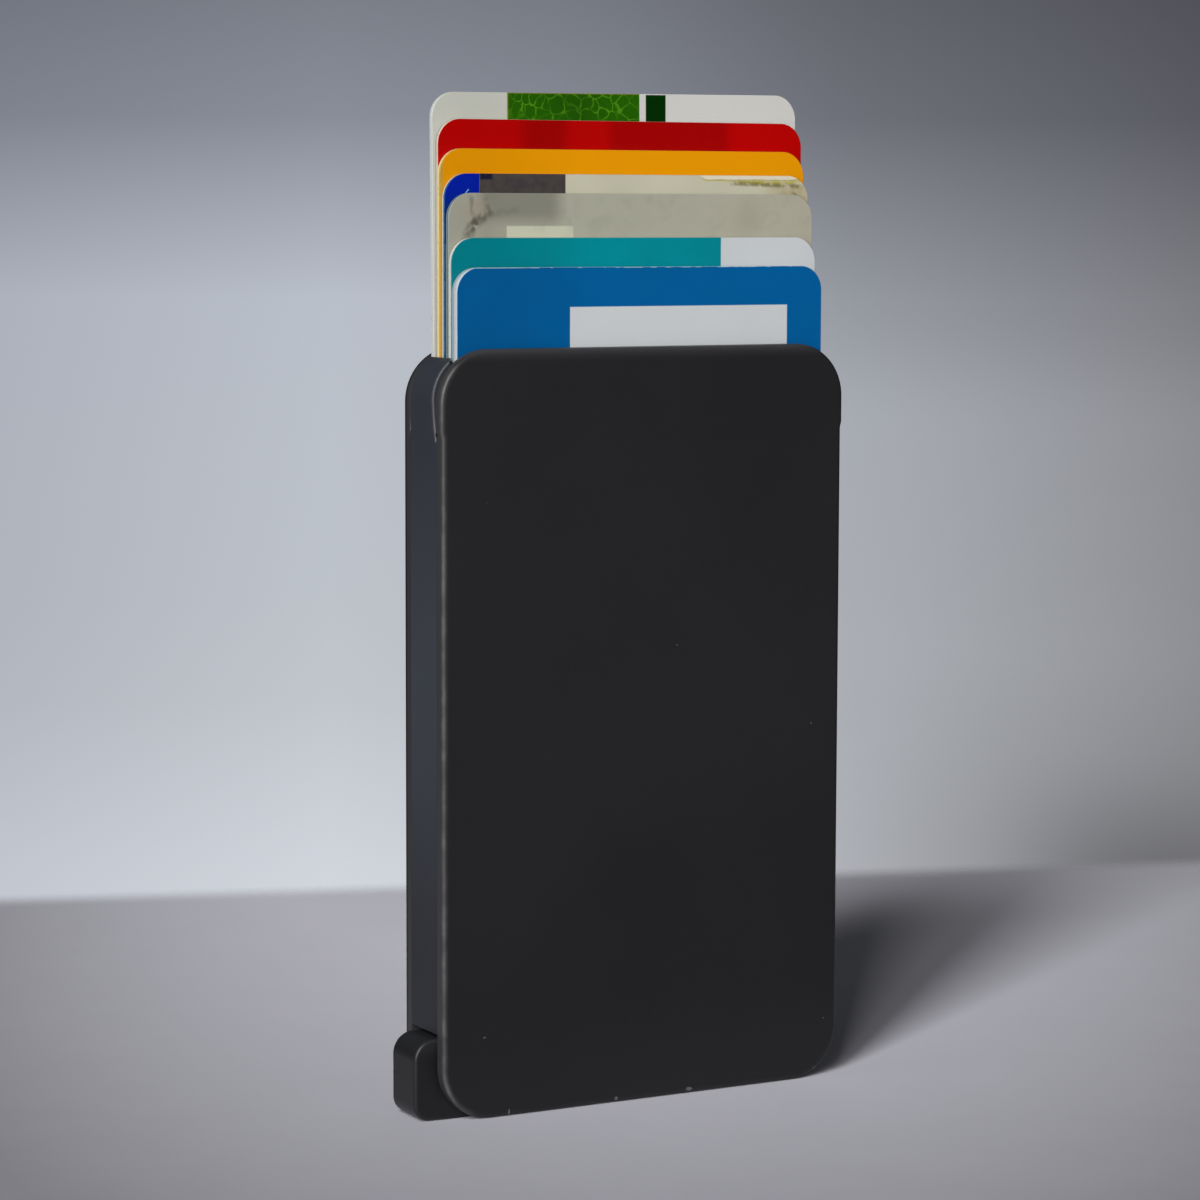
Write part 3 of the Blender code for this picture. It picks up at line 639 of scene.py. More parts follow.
def blue_card(card):
    """Blue with a bare window, and its upper edge worn to the core."""
    inks, nodes = card.cards, card.nodes
    breaks = nodes.noise(1.6, detail=3).rise(0.50, 0.58)
    front = nodes.layers(
        card.shade(inks.blue, 0.02),
        (card.block(16.13, 48.64, 5.06, 44.0), card.shade(inks.window, 0.01, 0)),
        (nodes.specks(3.4, 0.07, 0.8) * 0.5, inks.window),
        (card.from_top(0.12, 0.03) * card.from_left(12, 8).at_least(breaks) * 0.8, inks.bared),
    )
    return card.finish(front, card.striped_back(), inks.blue_core, inks.window, (0.2, 0.6))


def white_card(card):
    """Plain white stock, its edge greyed with painted shade."""
    inks = card.cards
    return card.finish(card.shade(inks.white, 0.02), inks.white, inks.shaded_white_edge, inks.shaded_white_edge, (0, 1))


def teal_card(card):
    """Teal with a bare white end."""
    inks = card.cards
    teal, bare = card.shade(inks.teal, 0.03, 0.24), card.shade(inks.window, 0.01, 0)
    front = card.nodes.blend(card.from_left(39.40, 39.50), teal, bare)
    return card.finish(front, card.striped_back(), inks.core, inks.dull_teal, (-0.2, 0.22))


def frosted_card(card):
    """Smudged translucent plastic, a lighter window in it, the next card's dark block behind."""
    inks, nodes = card.cards, card.nodes
    behind = card.from_left(17.6, 14.3) * card.from_left(3.5, 5.5)
    # A painted shadow at the upper right corner.
    painted_shadow = card.stroke((43.4, 5.0), (44.6, 1.4), 3.2, 3.0) * 0.3
    haze = nodes.noise(2.6, detail=5, distortion=0.8).rise(0.45, 0.8)
    front = nodes.layers(
        inks.frost,
        (behind * (0.2 + card.from_top(4.6, 2.2) * 0.35), inks.smudge),
        (card.stroke((2.4, 3.2), (5.2, 1.4), 2.2, 1.6) * 0.6, inks.skin_tone),
        # Darker towards the left edge, and the painted shadow.
        (card.from_left(8.5, 3.0) * 0.22 + painted_shadow, inks.smudge),
        # Paler to the right: painted light showing through from behind.
        (card.from_left(26, 48) * 0.45, inks.warm_frost),
        (card.block(8.26, 17.87, 4.17, 30.0, soft=0.12), inks.frost_window),
        (haze * 0.25, scaled(inks.frost, 0.6)),
    )
    smears = (
        card.stroke((2.5, 5.7), (3.6, 4.0), 1.2, 1.0) * 0.75
        + card.stroke((3.3, 4.2), (5.5, 2.6), 1.0, 0.8) * 0.8
        + card.stroke((3.2, 0.4), (3.5, 3.4), 0.5, 0.45) * 0.5
        + card.stroke((5.2, 0.7), (6.1, 2.9), 0.6, 0.5) * 0.5
        + card.stroke((6.0, 2.7), (10.0, 2.1), 0.8, 0.7) * 0.2
    )
    ragged = nodes.noise(1.0, detail=5).rise(0.32, 0.55)
    dirt = (smears * ragged).at_most(1) * card.on_front
    return card.finish(front, front, inks.frost_edge, inks.smudge, (0.35, 0.6), dirt=dirt, wear=0.02)


def laminated_card(card):
    """Off-white with a blue corner and a dark block, its laminate lifting at the right corner."""
    inks, nodes = card.cards, card.nodes
    motley = nodes.noise(1.4, detail=4).rise(0.3, 0.7) * 0.8
    ragged = nodes.noise(1.1, detail=5)
    past_start = card.from_left(36.7, 38.4)
    to_end = card.from_left(51.4, 53.2)
    stained = card.from_left(39.5, 47)
    crack = 0.05 * MM + past_start * 0.55 * MM - to_end * 0.3 * MM
    below_crack = card.down + (ragged - 0.5) * (0.25 * MM) - crack
    lifted = below_crack.rise(0.0, -0.1 * MM) * past_start
    glue = below_crack.within(0.0, 0.20 * MM + stained * 0.28 * MM, 0.05 * MM) * past_start
    beige = stained * card.from_left(46.0, 50.5) * card.from_top(0.9, 1.5)
    dark_glue = card.stroke((42.0, 1.0), (52.6, 1.35), 0.5, 0.45)
    dark_glue = dark_glue + card.stroke((51.6, 2.3), (53.6, 4.6), 0.6, 0.5)
    blot = card.stroke((5.0, 0.2), (6.8, 0.2), 0.7, 0.3)
    # The corner block darkens downwards, as painted shade near the frosted card in front.
    corner = nodes.blend(card.from_top(1.6, 5.5), inks.deep_blue, inks.shaded_deep_blue)
    front = nodes.layers(
        card.shade(inks.laminate, 0.03, 0),
        (card.block(4.94, 17.32, -1.0, 9.0), nodes.blend(motley, inks.slate, inks.warm_slate)),
        (card.block(-1.0, 4.94, -1.0, 9.0), corner),
        # Painted shade: the left margin below the corner block, shaded by the card in front.
        (card.block(-1.0, 4.94, 9.0, 90), inks.navy_ink_and_shade),
        (blot * ragged.rise(0.28, 0.44), inks.blot),
        (card.stroke((2.2, 3.3), (3.4, 2.0), 0.10, 0.06) * 0.8, inks.scratch),
        (lifted * 0.85, inks.lifted),
        (beige * (0.5 + ragged.rise(0.35, 0.65) * 0.4), inks.beige),
        (glue * (0.45 + ragged.rise(0.3, 0.6) * 0.5), inks.peel),
        ((dark_glue * ragged.rise(0.34, 0.56)).at_most(1) * 0.8, inks.old_glue),
    )
    back = card.shade(inks.laminate, 0.03)
    relief = lifted * 1.5 - glue * 1.2
    return card.finish(front, back, inks.cool_core, inks.navy_ink_and_shade, (-0.2, 0.50), relief)


def amber_card(card):
    """Plain amber on a cream core, with painted shade along the front's left edge."""
    inks = card.cards
    # The front's left edge is painted darker, as shade from the card in front.
    front = card.nodes.blend(card.from_left(0.6, 0.3) * 0.7, card.shade(inks.amber, 0.01), inks.amber_edge_and_shade)
    return card.finish(front, inks.white, inks.cream, inks.amber_edge_and_shade, (-0.2, 0.3))


def red_card(card):
    """Plain red, brighter to the right as painted light, with two slow darker bands."""
    inks = card.cards
    bands = card.band(12.0, 18.4, 1.5) + card.band(24.8, 42.7, 1.1) * 0.75
    front = card.nodes.layers(
        card.shade(inks.red, 0.01, 0.06),
        (card.from_left(10, 46), inks.lit_red),
        (bands.at_most(1), scaled(inks.red, 0.72)),
    )
    # The layer at the back of the edge is painted shade beside the next card.
    return card.finish(front, card.striped_back(), inks.warm_core, inks.shaded_red_edge, (0.6, 1.2))


def green_block_card(card):
    """White, in painted shade and yellowed to the left, a block of fine green lines, a dark green bar."""
    inks, nodes = card.cards, card.nodes
    faint = nodes.noise(1.7, detail=2).rise(0.36, 0.64)
    bled = card.from_top(0.2, 0.06) + card.from_left(10.98, 10.84)
    block = nodes.layers(
        card.shade(inks.green, 0.10, 0),
        (nodes.web(1.8, 0.8).rise(0.07, 0.01) * (0.16 + faint * 0.55), inks.green_line),
        (bled.at_most(1) * 0.65, inks.ochre),
    )
    front = nodes.layers(
        # Darker and yellower to the left; the darkening is painted shade.
        card.shade(inks.yellowed_white_and_shade, 0.02, 0.06),
        (card.from_left(4, 40), inks.clean_white),
        (card.block(10.73, 30.12, -1, 58), block),
        (card.block(31.07, 34.06, 0.12, 58), inks.dark_green),
    )
    return card.finish(front, card.striped_back(), inks.cool_core, inks.white, (0.2, 0.5))


PRINTS = {
    "card_1_blue": blue_card,
    "card_2_white": white_card,
    "card_3_teal": teal_card,
    "card_4_frosted": frosted_card,
    "card_5_laminated": laminated_card,
    "card_6_amber": amber_card,
    "card_7_red": red_card,
    "card_8_green_block": green_block_card,
}


# Shaping


def move(shape, way):
    """Move a whole shape."""
    bmesh.ops.translate(shape, vec=way, verts=shape.verts)


def tilt(shape, turned, axis, centre=(0, 0, 0)):
    """Turn a whole shape about an axis through a centre."""
    bmesh.ops.rotate(shape, cent=centre, matrix=Matrix.Rotation(turned, 3, axis), verts=shape.verts)


def block(low, high):
    """A plain block between two corners, to be shaped further."""
    shape = bmesh.new()
    low, high = Vector(low), Vector(high)
    bmesh.ops.create_cube(shape, size=1)
    bmesh.ops.scale(shape, vec=high - low, verts=shape.verts)
    move(shape, (low + high) / 2)
    return shape


def bar(radius, low, high, sides, centre=PIVOT, axis="Y"):
    """A round bar along an axis through a centre, from one place on that axis to another."""
    shape = bmesh.new()
    bmesh.ops.create_cone(
        shape, cap_ends=True, segments=sides, radius1=radius, radius2=radius, depth=high - low
    )
    tilt(shape, math.pi / 2, "Y" if axis == "X" else "X")
    middle = Vector(centre)
    middle["XYZ".index(axis)] = (low + high) / 2
    move(shape, middle)
    return shape


def flat_face(shape, points):
    """One flat face through a few corner points."""
    return shape.faces.new([shape.verts.new(point) for point in points])


def go(shape, face, way):
    """Extrude an end face straight on, and give the new end face."""
    within = len(face.edges[0].link_faces) > 1
    made = bmesh.ops.extrude_face_region(shape, geom=[face])["geom"]
    if within and face.is_valid:
        bmesh.ops.delete(shape, geom=[face], context="FACES_ONLY")
    moved = [item for item in made if isinstance(item, bmesh.types.BMVert)]
    bmesh.ops.translate(shape, vec=way, verts=moved)
    return next(item for item in made if isinstance(item, bmesh.types.BMFace))


def turn(shape, face, centre, axis, degrees, steps, climb=0.0):
    """Spin an end face about an axis, with a climb along Y for a coil, and give the new end."""
    made = bmesh.ops.spin(
        shape,
        geom=[face, *face.edges, *face.verts],
        cent=centre,
        axis=axis,
        dvec=(0, climb / steps, 0),
        angle=math.radians(degrees),
        steps=steps,
        use_merge=False,
        use_duplicate=False,
    )["geom_last"]
    return next(item for item in made if isinstance(item, bmesh.types.BMFace))


def cut_off(shape, place, facing, above):
    """Cut a shape's top at a plane, drop what lies beyond it and close the cut."""
    top = [vert for vert in shape.verts if vert.co.z > above - TINY]
    inside = set(top)
    parts = [part for part in (*shape.edges, *shape.faces) if inside.issuperset(part.verts)]
    made = bmesh.ops.bisect_plane(
        shape, geom=[*top, *parts], plane_co=place, plane_no=facing, dist=TINY, clear_outer=True
    )
    rim = [item for item in made["geom_cut"] if isinstance(item, bmesh.types.BMEdge)]
    bmesh.ops.holes_fill(shape, edges=rim, sides=0)


def bevel(shape, geom, radius, steps, affect="EDGES", clamp=True, fullness=0.5):
    """Bevel edges or corners, and give the new faces.

    A fullness of a half is a round edge, and a larger one is flatter with a tighter corner.
    """
    made = bmesh.ops.bevel(
        shape,
        geom=geom,
        offset=radius,
        offset_type="OFFSET",
        segments=steps,
        profile=fullness,
        affect=affect,
        material=-1,
        clamp_overlap=clamp,
    )
    return made["faces"]


def round_over(shape, edges, radius, steps, worn=0.0, **how):
    """Round the given edges and mark wear with painted highlight, most at their tightest faces."""
    layers = shape.faces.layers.float
    wear = layers.get(WEAR_AND_HIGHLIGHT) or layers.new(WEAR_AND_HIGHLIGHT)
    faces = bevel(shape, edges, radius, steps, **how)
    shape.normal_update()
    for face in faces:
        facing = min(face.normal.y**2, 1)
        face[wear] = worn * 2 * math.sqrt(facing * (1 - facing))


def edges_along_y(shape):
    """The edges that run straight from front to back."""
    almost = 1 - 1e-4
    runs = [(edge, edge.verts[1].co - edge.verts[0].co) for edge in shape.edges]
    return [edge for edge, run in runs if abs(run.normalized().y) > almost]


def sharp_edges(shape, where=lambda edge: True, degrees=SQUARE):
    """The edges whose faces meet at more than an angle, and that pass a further test."""
    shape.normal_update()
    return [
        edge
        for edge in shape.edges
        if len(edge.link_faces) == 2
        and edge.calc_face_angle() > math.radians(degrees)
        and where(edge)
    ]


def mesh_of(name, shape):
    """A mesh from a shape, which is used up."""
    mesh = bpy.data.meshes.new(name)
    shape.to_mesh(mesh)
    shape.free()
    return mesh


def new_object(name, data):
    """A new object in the scene."""
    made = bpy.data.objects.new(name, data)
    bpy.context.scene.collection.objects.link(made)
    return made


def loose_object(shape):
    """A helper object for a modifier, from a shape that is used up."""
    bmesh.ops.recalc_face_normals(shape, faces=shape.faces)
    return new_object("helper", mesh_of("helper", shape))


def carved(shape, tools, operation="DIFFERENCE"):
    """The shape after the tools have cut, joined or trimmed it. All of them are used up."""
    piece = loose_object(shape)
    helpers = [piece]
    for tool in tools:
        helper = loose_object(tool)
        modifier = piece.modifiers.new("carve", "BOOLEAN")
        modifier.operation = operation
        modifier.solver = "EXACT"
        modifier.object = helper
        helpers.append(helper)
    bpy.context.view_layer.update()
    result = bmesh.new()
    result.from_object(piece, bpy.context.evaluated_depsgraph_get())
    for helper in helpers:
        mesh = helper.data
        bpy.data.objects.remove(helper)
        bpy.data.meshes.remove(mesh)
    bmesh.ops.remove_doubles(result, verts=result.verts, dist=TINY)
    bmesh.ops.dissolve_limit(
        result, angle_limit=math.radians(FLAT), verts=result.verts, edges=result.edges
    )
    return result


def fit(node, shape, finish, wound=None):
    """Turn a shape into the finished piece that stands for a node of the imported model.

    wound is for a piece that another body winds up: that body, and the places where the
    piece stops being still and where it turns fully with that body.
    """
    bmesh.ops.recalc_face_normals(shape, faces=shape.faces)
    open_edges = [edge for edge in shape.edges if len(edge.link_faces) != 2]
    if open_edges:
        raise RuntimeError(f"{node} has {len(open_edges)} open edges")
    mesh = mesh_of(f"{node}_finished", shape)
    mesh.shade_smooth()
    mesh.set_sharp_from_angle(angle=math.radians(CREASE))
    mesh.materials.append(finish)
    piece = new_object(mesh.name, mesh)
    weighted = piece.modifiers.new("weighted normals", "WEIGHTED_NORMAL")
    weighted.keep_sharp = True
    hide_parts(node)
    if wound:
        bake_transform(piece, BODY_OF[node], *wound)
    else:
        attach(piece, BODY_OF[node])


# The case


def mouth():
    """The height of the case's mouth."""
    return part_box("front_cover")[1].z


def half_width(case):
    """Half the case's width below the lips."""
    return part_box("front_cover")[1].x - case.lip_flare


def wall_reach(case):
    """How far the walls reach towards either cover."""
    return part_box("back_cover")[0].y - case.seam


def mouth_half_width():
    """Half the mouth's width, where both walls' tops end."""
    return -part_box("left_side_wall")[1].x


def wall_foot():
    """The height of the left wall's lower end."""
    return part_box("left_side_wall")[0].z


def pin_radius(play=0.0):
    """The pivot pin's radius, with a clearance round it."""
    low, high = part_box("pivot_pin")
    return (high.x - low.x) / 2 + play


def right_strip(case, outer, thickness, reach, starts, top, crown, steps):
    """A strip along the bottom wall, round the corner and up the right side.

    starts is where it begins at its lower and at its upper face.
    """
    shape = bmesh.new()
    corner = case.corner_radius
    centre_x = half_width(case) - corner
    below, above = (starts[0], outer), (starts[1], outer + thickness)
    corners = ((below, -reach), (below, reach), (above, reach), (above, -reach))
    end = flat_face(shape, [(x, y, z) for (x, z), y in corners])
    end = go(shape, end, (0, 0, 0))
    for vert in end.verts:
        vert.co.x = centre_x
    end = turn(shape, end, (centre_x, 0, corner), (0, -1, 0), 90, steps)
    end = go(shape, end, (0, 0, top - corner))
    if crown:
        turn(shape, end, (centre_x, 0, top), (0, -1, 0), crown, steps // 2)
    return shape


def left_strip(case, outer, thickness, reach, foot, top, crown, steps):
    """A strip up the left side."""
    shape = bmesh.new()
    centre_x = case.corner_radius - half_width(case)
    left = outer - half_width(case)
    right = left + thickness
    corners = [(left, -reach), (right, -reach), (right, reach), (left, reach)]
    end = flat_face(shape, [(x, y, foot) for x, y in corners])
    end = go(shape, end, (0, 0, top - foot))
    if crown:
        turn(shape, end, (centre_x, 0, top), (0, 1, 0), crown, steps // 2)
    return shape


def stop_face(height, lever):
    """Where the bottom wall ends at a height, along the tab's sole at full lift."""
    sole = PIVOT.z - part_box("ejector_lever")[0].z + lever.stop_gap
    return PIVOT.x + (sole + (height - PIVOT.z) * math.cos(LEVER_LIFT)) / math.sin(LEVER_LIFT)


def tongues(case, lever, play, reach, steps):
    """The tongues of both walls, or with a play their grooves, left one first."""
    outer = case.tongue_inset - play
    width = case.tongue_width + 2 * play
    top = mouth() - case.tongue_drop + play
    foot = wall_foot() + case.tongue_setback - play
    left = left_strip(case, outer, width, reach, foot, top, 0, steps)
    start = stop_face(case.wall, lever) + case.tongue_setback - play
    return left, right_strip(case, outer, width, reach, (start, start), top, 0, steps)


def dent_tool(case, face, depth, height, half, steps):
    """What is cut from a wall for a dent beside a lip, as deep and half as long as given."""
    radius = (half**2 + depth**2) / (2 * depth)
    reach = half_width(case) + case.wall
    middle_y = face * (wall_reach(case) - depth + radius)
    return bar(radius, -reach, reach, steps * 16, (0, middle_y, height), "X")


def dented_wall(case, shape, tongue, steps):
    """Join a wall to its tongue, dent it beside both lips and round the dents' edges."""
    long_dent = (case.front_dent, case.front_dent_height, case.front_dent_half)
    shallow_dent = (case.back_dent, case.back_dent_height, case.back_dent_half)
    shape = carved(shape, [tongue], "UNION")
    tools = [dent_tool(case, FRONT, *long_dent, steps), dent_tool(case, BACK, *shallow_dent, steps)]
    shape = carved(shape, tools)
    corner = case.corner_radius
    flush = wall_reach(case) - TINY

    def outside(vert):
        across = abs(vert.co.x) - half_width(case) + corner
        up = max(vert.co.z - mouth() + corner, 0)
        return math.hypot(across, up) > corner - case.wall / 2

    def round_dent(face, foot, radius, segments, clamp):
        def at_dent(edge):
            run = edge.verts[1].co - edge.verts[0].co
            lengthwise = abs(run.y) < 0.9 * run.length
            return lengthwise and all(
                v.co.z > foot and TINY < v.co.y * face < flush and outside(v) for v in edge.verts
            )

        edges = sharp_edges(shape, at_dent, DENTED)
        # The dents' edges get wear and a painted highlight.
        round_over(shape, edges, radius, segments, worn=1.0, clamp=clamp)

    long_foot = case.front_dent_height - case.front_dent_half + case.dent_edge
    shallow_foot = case.back_dent_height - case.back_dent_half
    round_dent(FRONT, long_foot, case.dent_edge, segments=5, clamp=False)
    round_dent(BACK, shallow_foot, case.dent_edge / 4, segments=3, clamp=True)
    return shape


def crown_cut(case, shape, end):
    """End a wall's top at the mouth, at the given X."""
    arcs_foot = mouth() - case.corner_radius
    cut_off(shape, (end, 0, 0), (-math.copysign(1, end), 0, 0), arcs_foot)


def finger_reach(step, lever):
    """How far one step's fingers reach from the pivot."""
    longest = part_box("ejector_lever")[1].x - PIVOT.x
    return lever.shortest_finger + (longest - lever.shortest_finger) * step / LAST_STEP


def step_end(step):
    """The Y where one step of the lever ends and the next begins."""
    ahead, behind = (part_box(CARD_NODES[step + more]) for more in (1, 2))
    return (ahead[1].y + behind[0].y) / 2


def fingers_top():
    """The height of the fingers' tops, on which closed cards almost rest."""
    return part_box("ejector_lever")[1].z


def finger_underside(x, lever):
    """The height of the fingers' underside, which rises evenly from heel to tip."""
    heel = PIVOT.x + lever.heel_reach
    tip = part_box("ejector_lever")[1].x
    rise = fingers_top() - lever.tip_depth - lever.heel_height
    return lever.heel_height + rise * (x - heel) / (tip - heel)


def rest_ribs(case, lever):
    """The rests past each finger's tip: tall beside the longer fingers, low under them."""
    shape = bmesh.new()
    reach = wall_reach(case)
    for step in range(LAST_STEP):
        left = PIVOT.x + finger_reach(step, lever) + lever.rib_ahead
        foot = finger_underside(left, lever) - lever.rib_play
        side = step_end(step) - lever.rib_play
        profile = [
            (-reach, case.wall / 2),
            (reach, case.wall / 2),
            (reach, foot),
            (side, foot),
            (side, fingers_top()),
            (-reach, fingers_top()),
        ]
        face = flat_face(shape, [(left, y, z) for y, z in profile])
        go(shape, face, (lever.rib, 0, 0))
    return shape


def cover(node, face, case, lever, steps):
    """A cover: a rounded plate with a free lip, and inside it the seats of what it holds."""
    low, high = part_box(node)
    half = half_width(case)
    shape = block((-half, low.y, low.z), (half, high.y, high.z))
    round_over(shape, edges_along_y(shape), case.corner_radius, steps)
    lip = high.z - case.lip_height
    flare = 0 if face == BACK else case.lip_flare
    for height in (lip - case.flare_run, lip):
        everything = shape.verts[:] + shape.edges[:] + shape.faces[:]
        bmesh.ops.bisect_plane(shape, geom=everything, plane_co=(0, 0, height), plane_no=(0, 0, 1))
    for side in (LEFT, RIGHT):
        flared = [v for v in shape.verts if v.co.z > lip - TINY and side * v.co.x > TINY]
        bmesh.ops.translate(shape, vec=(side * flare, 0, 0), verts=flared)
    outer, inner = (high.y, low.y) if face == BACK else (low.y, high.y)
    on_rim = sharp_edges(shape, lambda e: all(abs(v.co.y - outer) < TINY for v in e.verts))
    rim_radius = case.back_rim if face == BACK else case.front_rim
    # The rim gets wear and a painted highlight, most at its tightest turn.
    round_over(shape, on_rim, rim_radius, steps=10, worn=1.0, fullness=RIM_FULLNESS)

    def at_mouth(edge):
        return all(abs(v.co.y - inner) < TINY and v.co.z > lip - TINY for v in edge.verts)

    round_over(shape, sharp_edges(shape, at_mouth), case.lead_in, steps=4)
    return carved(shape, cover_seats(face, inner, case, lever, steps))


def cover_seats(face, inner, case, lever, steps):
    """Tools for a cover's grooves, felt pocket, pin socket and, at the back, spring hole."""
    over = case.wall
    felt = "back_friction_pad" if face == BACK else "front_friction_pad"
    low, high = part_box(felt)
    deepest = (high.y if face == BACK else -low.y) + case.pocket_play
    sunk = sorted((inner - face * over, face * deepest))
    play = case.pocket_play
    pocket = block((low.x - play, sunk[0], low.z - play), (high.x + play, sunk[1], high.z + play))
    round_over(pocket, edges_along_y(pocket), case.pocket_corner + play, steps // 2)
    socket_end = face * (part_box("pivot_pin")[1].y + lever.pin_end_play)
    socket = sorted((inner - face * over, socket_end))
    tools = [pocket, bar(pin_radius(lever.pin_play), *socket, steps * 2)]
    groove_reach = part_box("left_side_wall")[1].y + case.tongue_play
    tools += tongues(case, lever, case.tongue_play, groove_reach, steps)
    if face == BACK:
        hole_end = inner + lever.tang + lever.pin_play
        hole_x = PIVOT.x - math.hypot(lever.coil_radius, lever.bend)
        hole_radius = lever.wire / 2 + lever.pin_play
        tools.append(bar(hole_radius, inner - over, hole_end, steps, (hole_x, 0, PIVOT.z)))
    return tools


def cover_finish(node, finishes):
    """The covers' plastic, with painted light. The front one is nicked and rubbed at the rim."""
    marks = {}
    if node == "front_cover":
        marks["nicks"] = (
            (-4.35, 0.55, 0.28, 0.35),
            (6.7, 0.6, 0.6, 0.34),
            (26.35, 1.25, 0.5, 0.3),
            (-20.13, 0.6, 0.16, 0.6),
            (4.53, 59.93, 0.13, 0.13),
            (25.23, 48.33, 0.12, 0.12),
            (27.55, 8.03, 0.12, 0.12),
            (-23.7, 10.7, 0.2, 0.14),
        )
        # Rim wear with a painted highlight, most along the left edge and at the lower left corner.
        marks["rubs"] = ((-29.6, 50, 3.2, 78, 0.8), (-27.6, 2.0, 3.4, 3.4, 0.35))
        # Painted light: a paler upper face, and a painted highlight along the top edge.
        marks["painted_light_bands"] = ((30, 140, 22, 0.11), (98.9, 120, 1.9, 1.5))
    # Both covers' sides are painted paler than their faces, as painted light.
    return moulded_plastic(node, finishes.plastic, finishes, wear=0.09, smooth=0.6, **marks)


def left_wall(case, lever, steps):
    """The left wall: a strip from above the tab up to the mouth, with its tongue."""
    top = mouth() - case.corner_radius + case.left_rise
    shape = left_strip(case, 0, case.wall, wall_reach(case), wall_foot(), top, CROWN, steps)
    crown_cut(case, shape, -case.left_top)
    tongue_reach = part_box("left_side_wall")[1].y
    left, right = tongues(case, lever, 0, tongue_reach, steps)
    right.free()
    return dented_wall(case, shape, left, steps)


def right_frame(case, lever, steps):
    """The right and bottom walls in one moulding, with the ribs that closed cards stand on."""
    top = mouth() - case.corner_radius
    starts = (stop_face(0, lever), stop_face(case.wall, lever))
    shape = right_strip(case, 0, case.wall, wall_reach(case), starts, top, CROWN, steps)
    crown_cut(case, shape, mouth_half_width())
    shape = carved(shape, [rest_ribs(case, lever)], "UNION")
    tongue_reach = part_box("right_side_frame")[1].y
    left, right = tongues(case, lever, 0, tongue_reach, steps)
    left.free()
    return dented_wall(case, shape, right, steps)


def felt_strip(node, case):
    """A felt strip with soft cut edges."""
    shape = block(*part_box(node))
    round_over(shape, edges_along_y(shape), case.pocket_corner, steps=8)
    round_over(shape, sharp_edges(shape), case.felt_edge, steps=3)
    return shape


# The lever, its pin and its spring


def lever_profile(lever, half_depth, steps):
    """The lever seen from the front: tab, hub, heel and the longest finger."""
    low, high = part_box("ejector_lever")
    tab_top = high.z - lever.tab_drop
    rise = high.z - lever.hub_radius - PIVOT.z
    hub_meets_tab = math.asin((tab_top - PIVOT.z) / lever.hub_radius)
    hub_tangent = lever.hub_radius * math.tan((math.pi / 2 - hub_meets_tab) / 2)
    joint_x = PIVOT.x - lever.hub_radius * math.cos(hub_meets_tab)
    heel_x = PIVOT.x + lever.heel_reach
    corners = (
        (low.x, low.z, lever.tab_foot_radius),
        (heel_x, low.z, lever.heel_radius),
        (heel_x, lever.heel_height, 0),
        (high.x, high.z - lever.tip_depth, 0),
        (high.x, high.z + rise, 0),
        (PIVOT.x - hub_tangent, high.z, hub_tangent),
        (joint_x, tab_top, 0),
        (low.x, tab_top, lever.tab_top_radius),
    )
    shape = bmesh.new()
    face = flat_face(shape, [(x, -half_depth, z) for x, z, radius in corners])
    for vert, corner in zip(list(face.verts), corners):
        if corner[2]:
            bevel(shape, [vert], corner[2], steps // 2, affect="VERTICES")
    go(shape, shape.faces[:][0], (0, 2 * half_depth, 0))
    return shape


def lever_stair(lever, half_depth):
    """The lever seen from above: each step back is one finger length longer."""
    low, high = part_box("ejector_lever")
    over = lever.hub_radius
    left = low.x - over
    points = [(left, -half_depth)]
    front = -half_depth
    for step in range(LAST_STEP + 1):
        back = half_depth if step == LAST_STEP else step_end(step)
        reach = PIVOT.x + finger_reach(step, lever)
        points += [(reach, front), (reach, back)]
        front = back
    points.append((left, half_depth))
    shape = bmesh.new()
    face = flat_face(shape, [(x, y, low.z - over) for x, y in points])
    go(shape, face, (0, 0, high.z - low.z + 2 * over))
    return shape


def ejector_lever(lever, steps):
    """Thumb tab, hub and fingers in one, bored for the pin and relieved for the spring."""
    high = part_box("ejector_lever")[1]
    half = high.y
    over = lever.hub_radius
    profile = lever_profile(lever, half + over, steps)
    shape = carved(profile, [lever_stair(lever, half)], "INTERSECT")
    tips = [PIVOT.x + finger_reach(step, lever) for step in range(LAST_STEP + 1)]
    crosswise = set(edges_along_y(shape))
    near = 10 * TINY
    tab_end = PIVOT.x - lever.hub_radius * math.cos(math.radians(45))

    def is_nose(edge):
        middle = (edge.verts[0].co + edge.verts[1].co) / 2
        at_tip = any(abs(middle.x - tip) < near for tip in tips)
        return at_tip and middle.z > high.z - near and edge in crosswise

    def on_tab_rim(edge):
        return all(abs(v.co.y) > half - TINY and v.co.x < tab_end for v in edge.verts)

    round_over(shape, sharp_edges(shape, is_nose), lever.nose_radius, steps=6)
    rims = sharp_edges(shape, on_tab_rim)
    # The tab's rim gets wear and a painted highlight.
    round_over(shape, rims, lever.tab_fillet, steps=6, worn=1.0, clamp=False)
    coil_depth = lever.coil_pitch * lever.coil_turns + lever.wire + 2 * lever.spring_play
    floor, out = half - coil_depth, half + over
    seat_radius = lever.coil_radius + lever.wire / 2 + lever.spring_play
    slot_half = lever.wire / 2 + lever.spring_play
    slot_z = PIVOT.z + lever.coil_radius
    slot_end = PIVOT.x + lever.arm + lever.spring_play
    slot = block((PIVOT.x, floor, slot_z - slot_half), (slot_end, out, slot_z + slot_half))
    bore = bar(pin_radius(lever.pin_play), -out, out, steps * 2)
    return carved(shape, [bore, bar(seat_radius, floor, out, steps * 2), slot])


def pivot_pin(lever, steps):
    """A ground pin with chamfered ends."""
    low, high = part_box("pivot_pin")
    shape = bar(pin_radius(), low.y, high.y, steps * 2)
    round_over(shape, sharp_edges(shape), lever.pin_chamfer, steps=3, worn=1.0)
    return shape


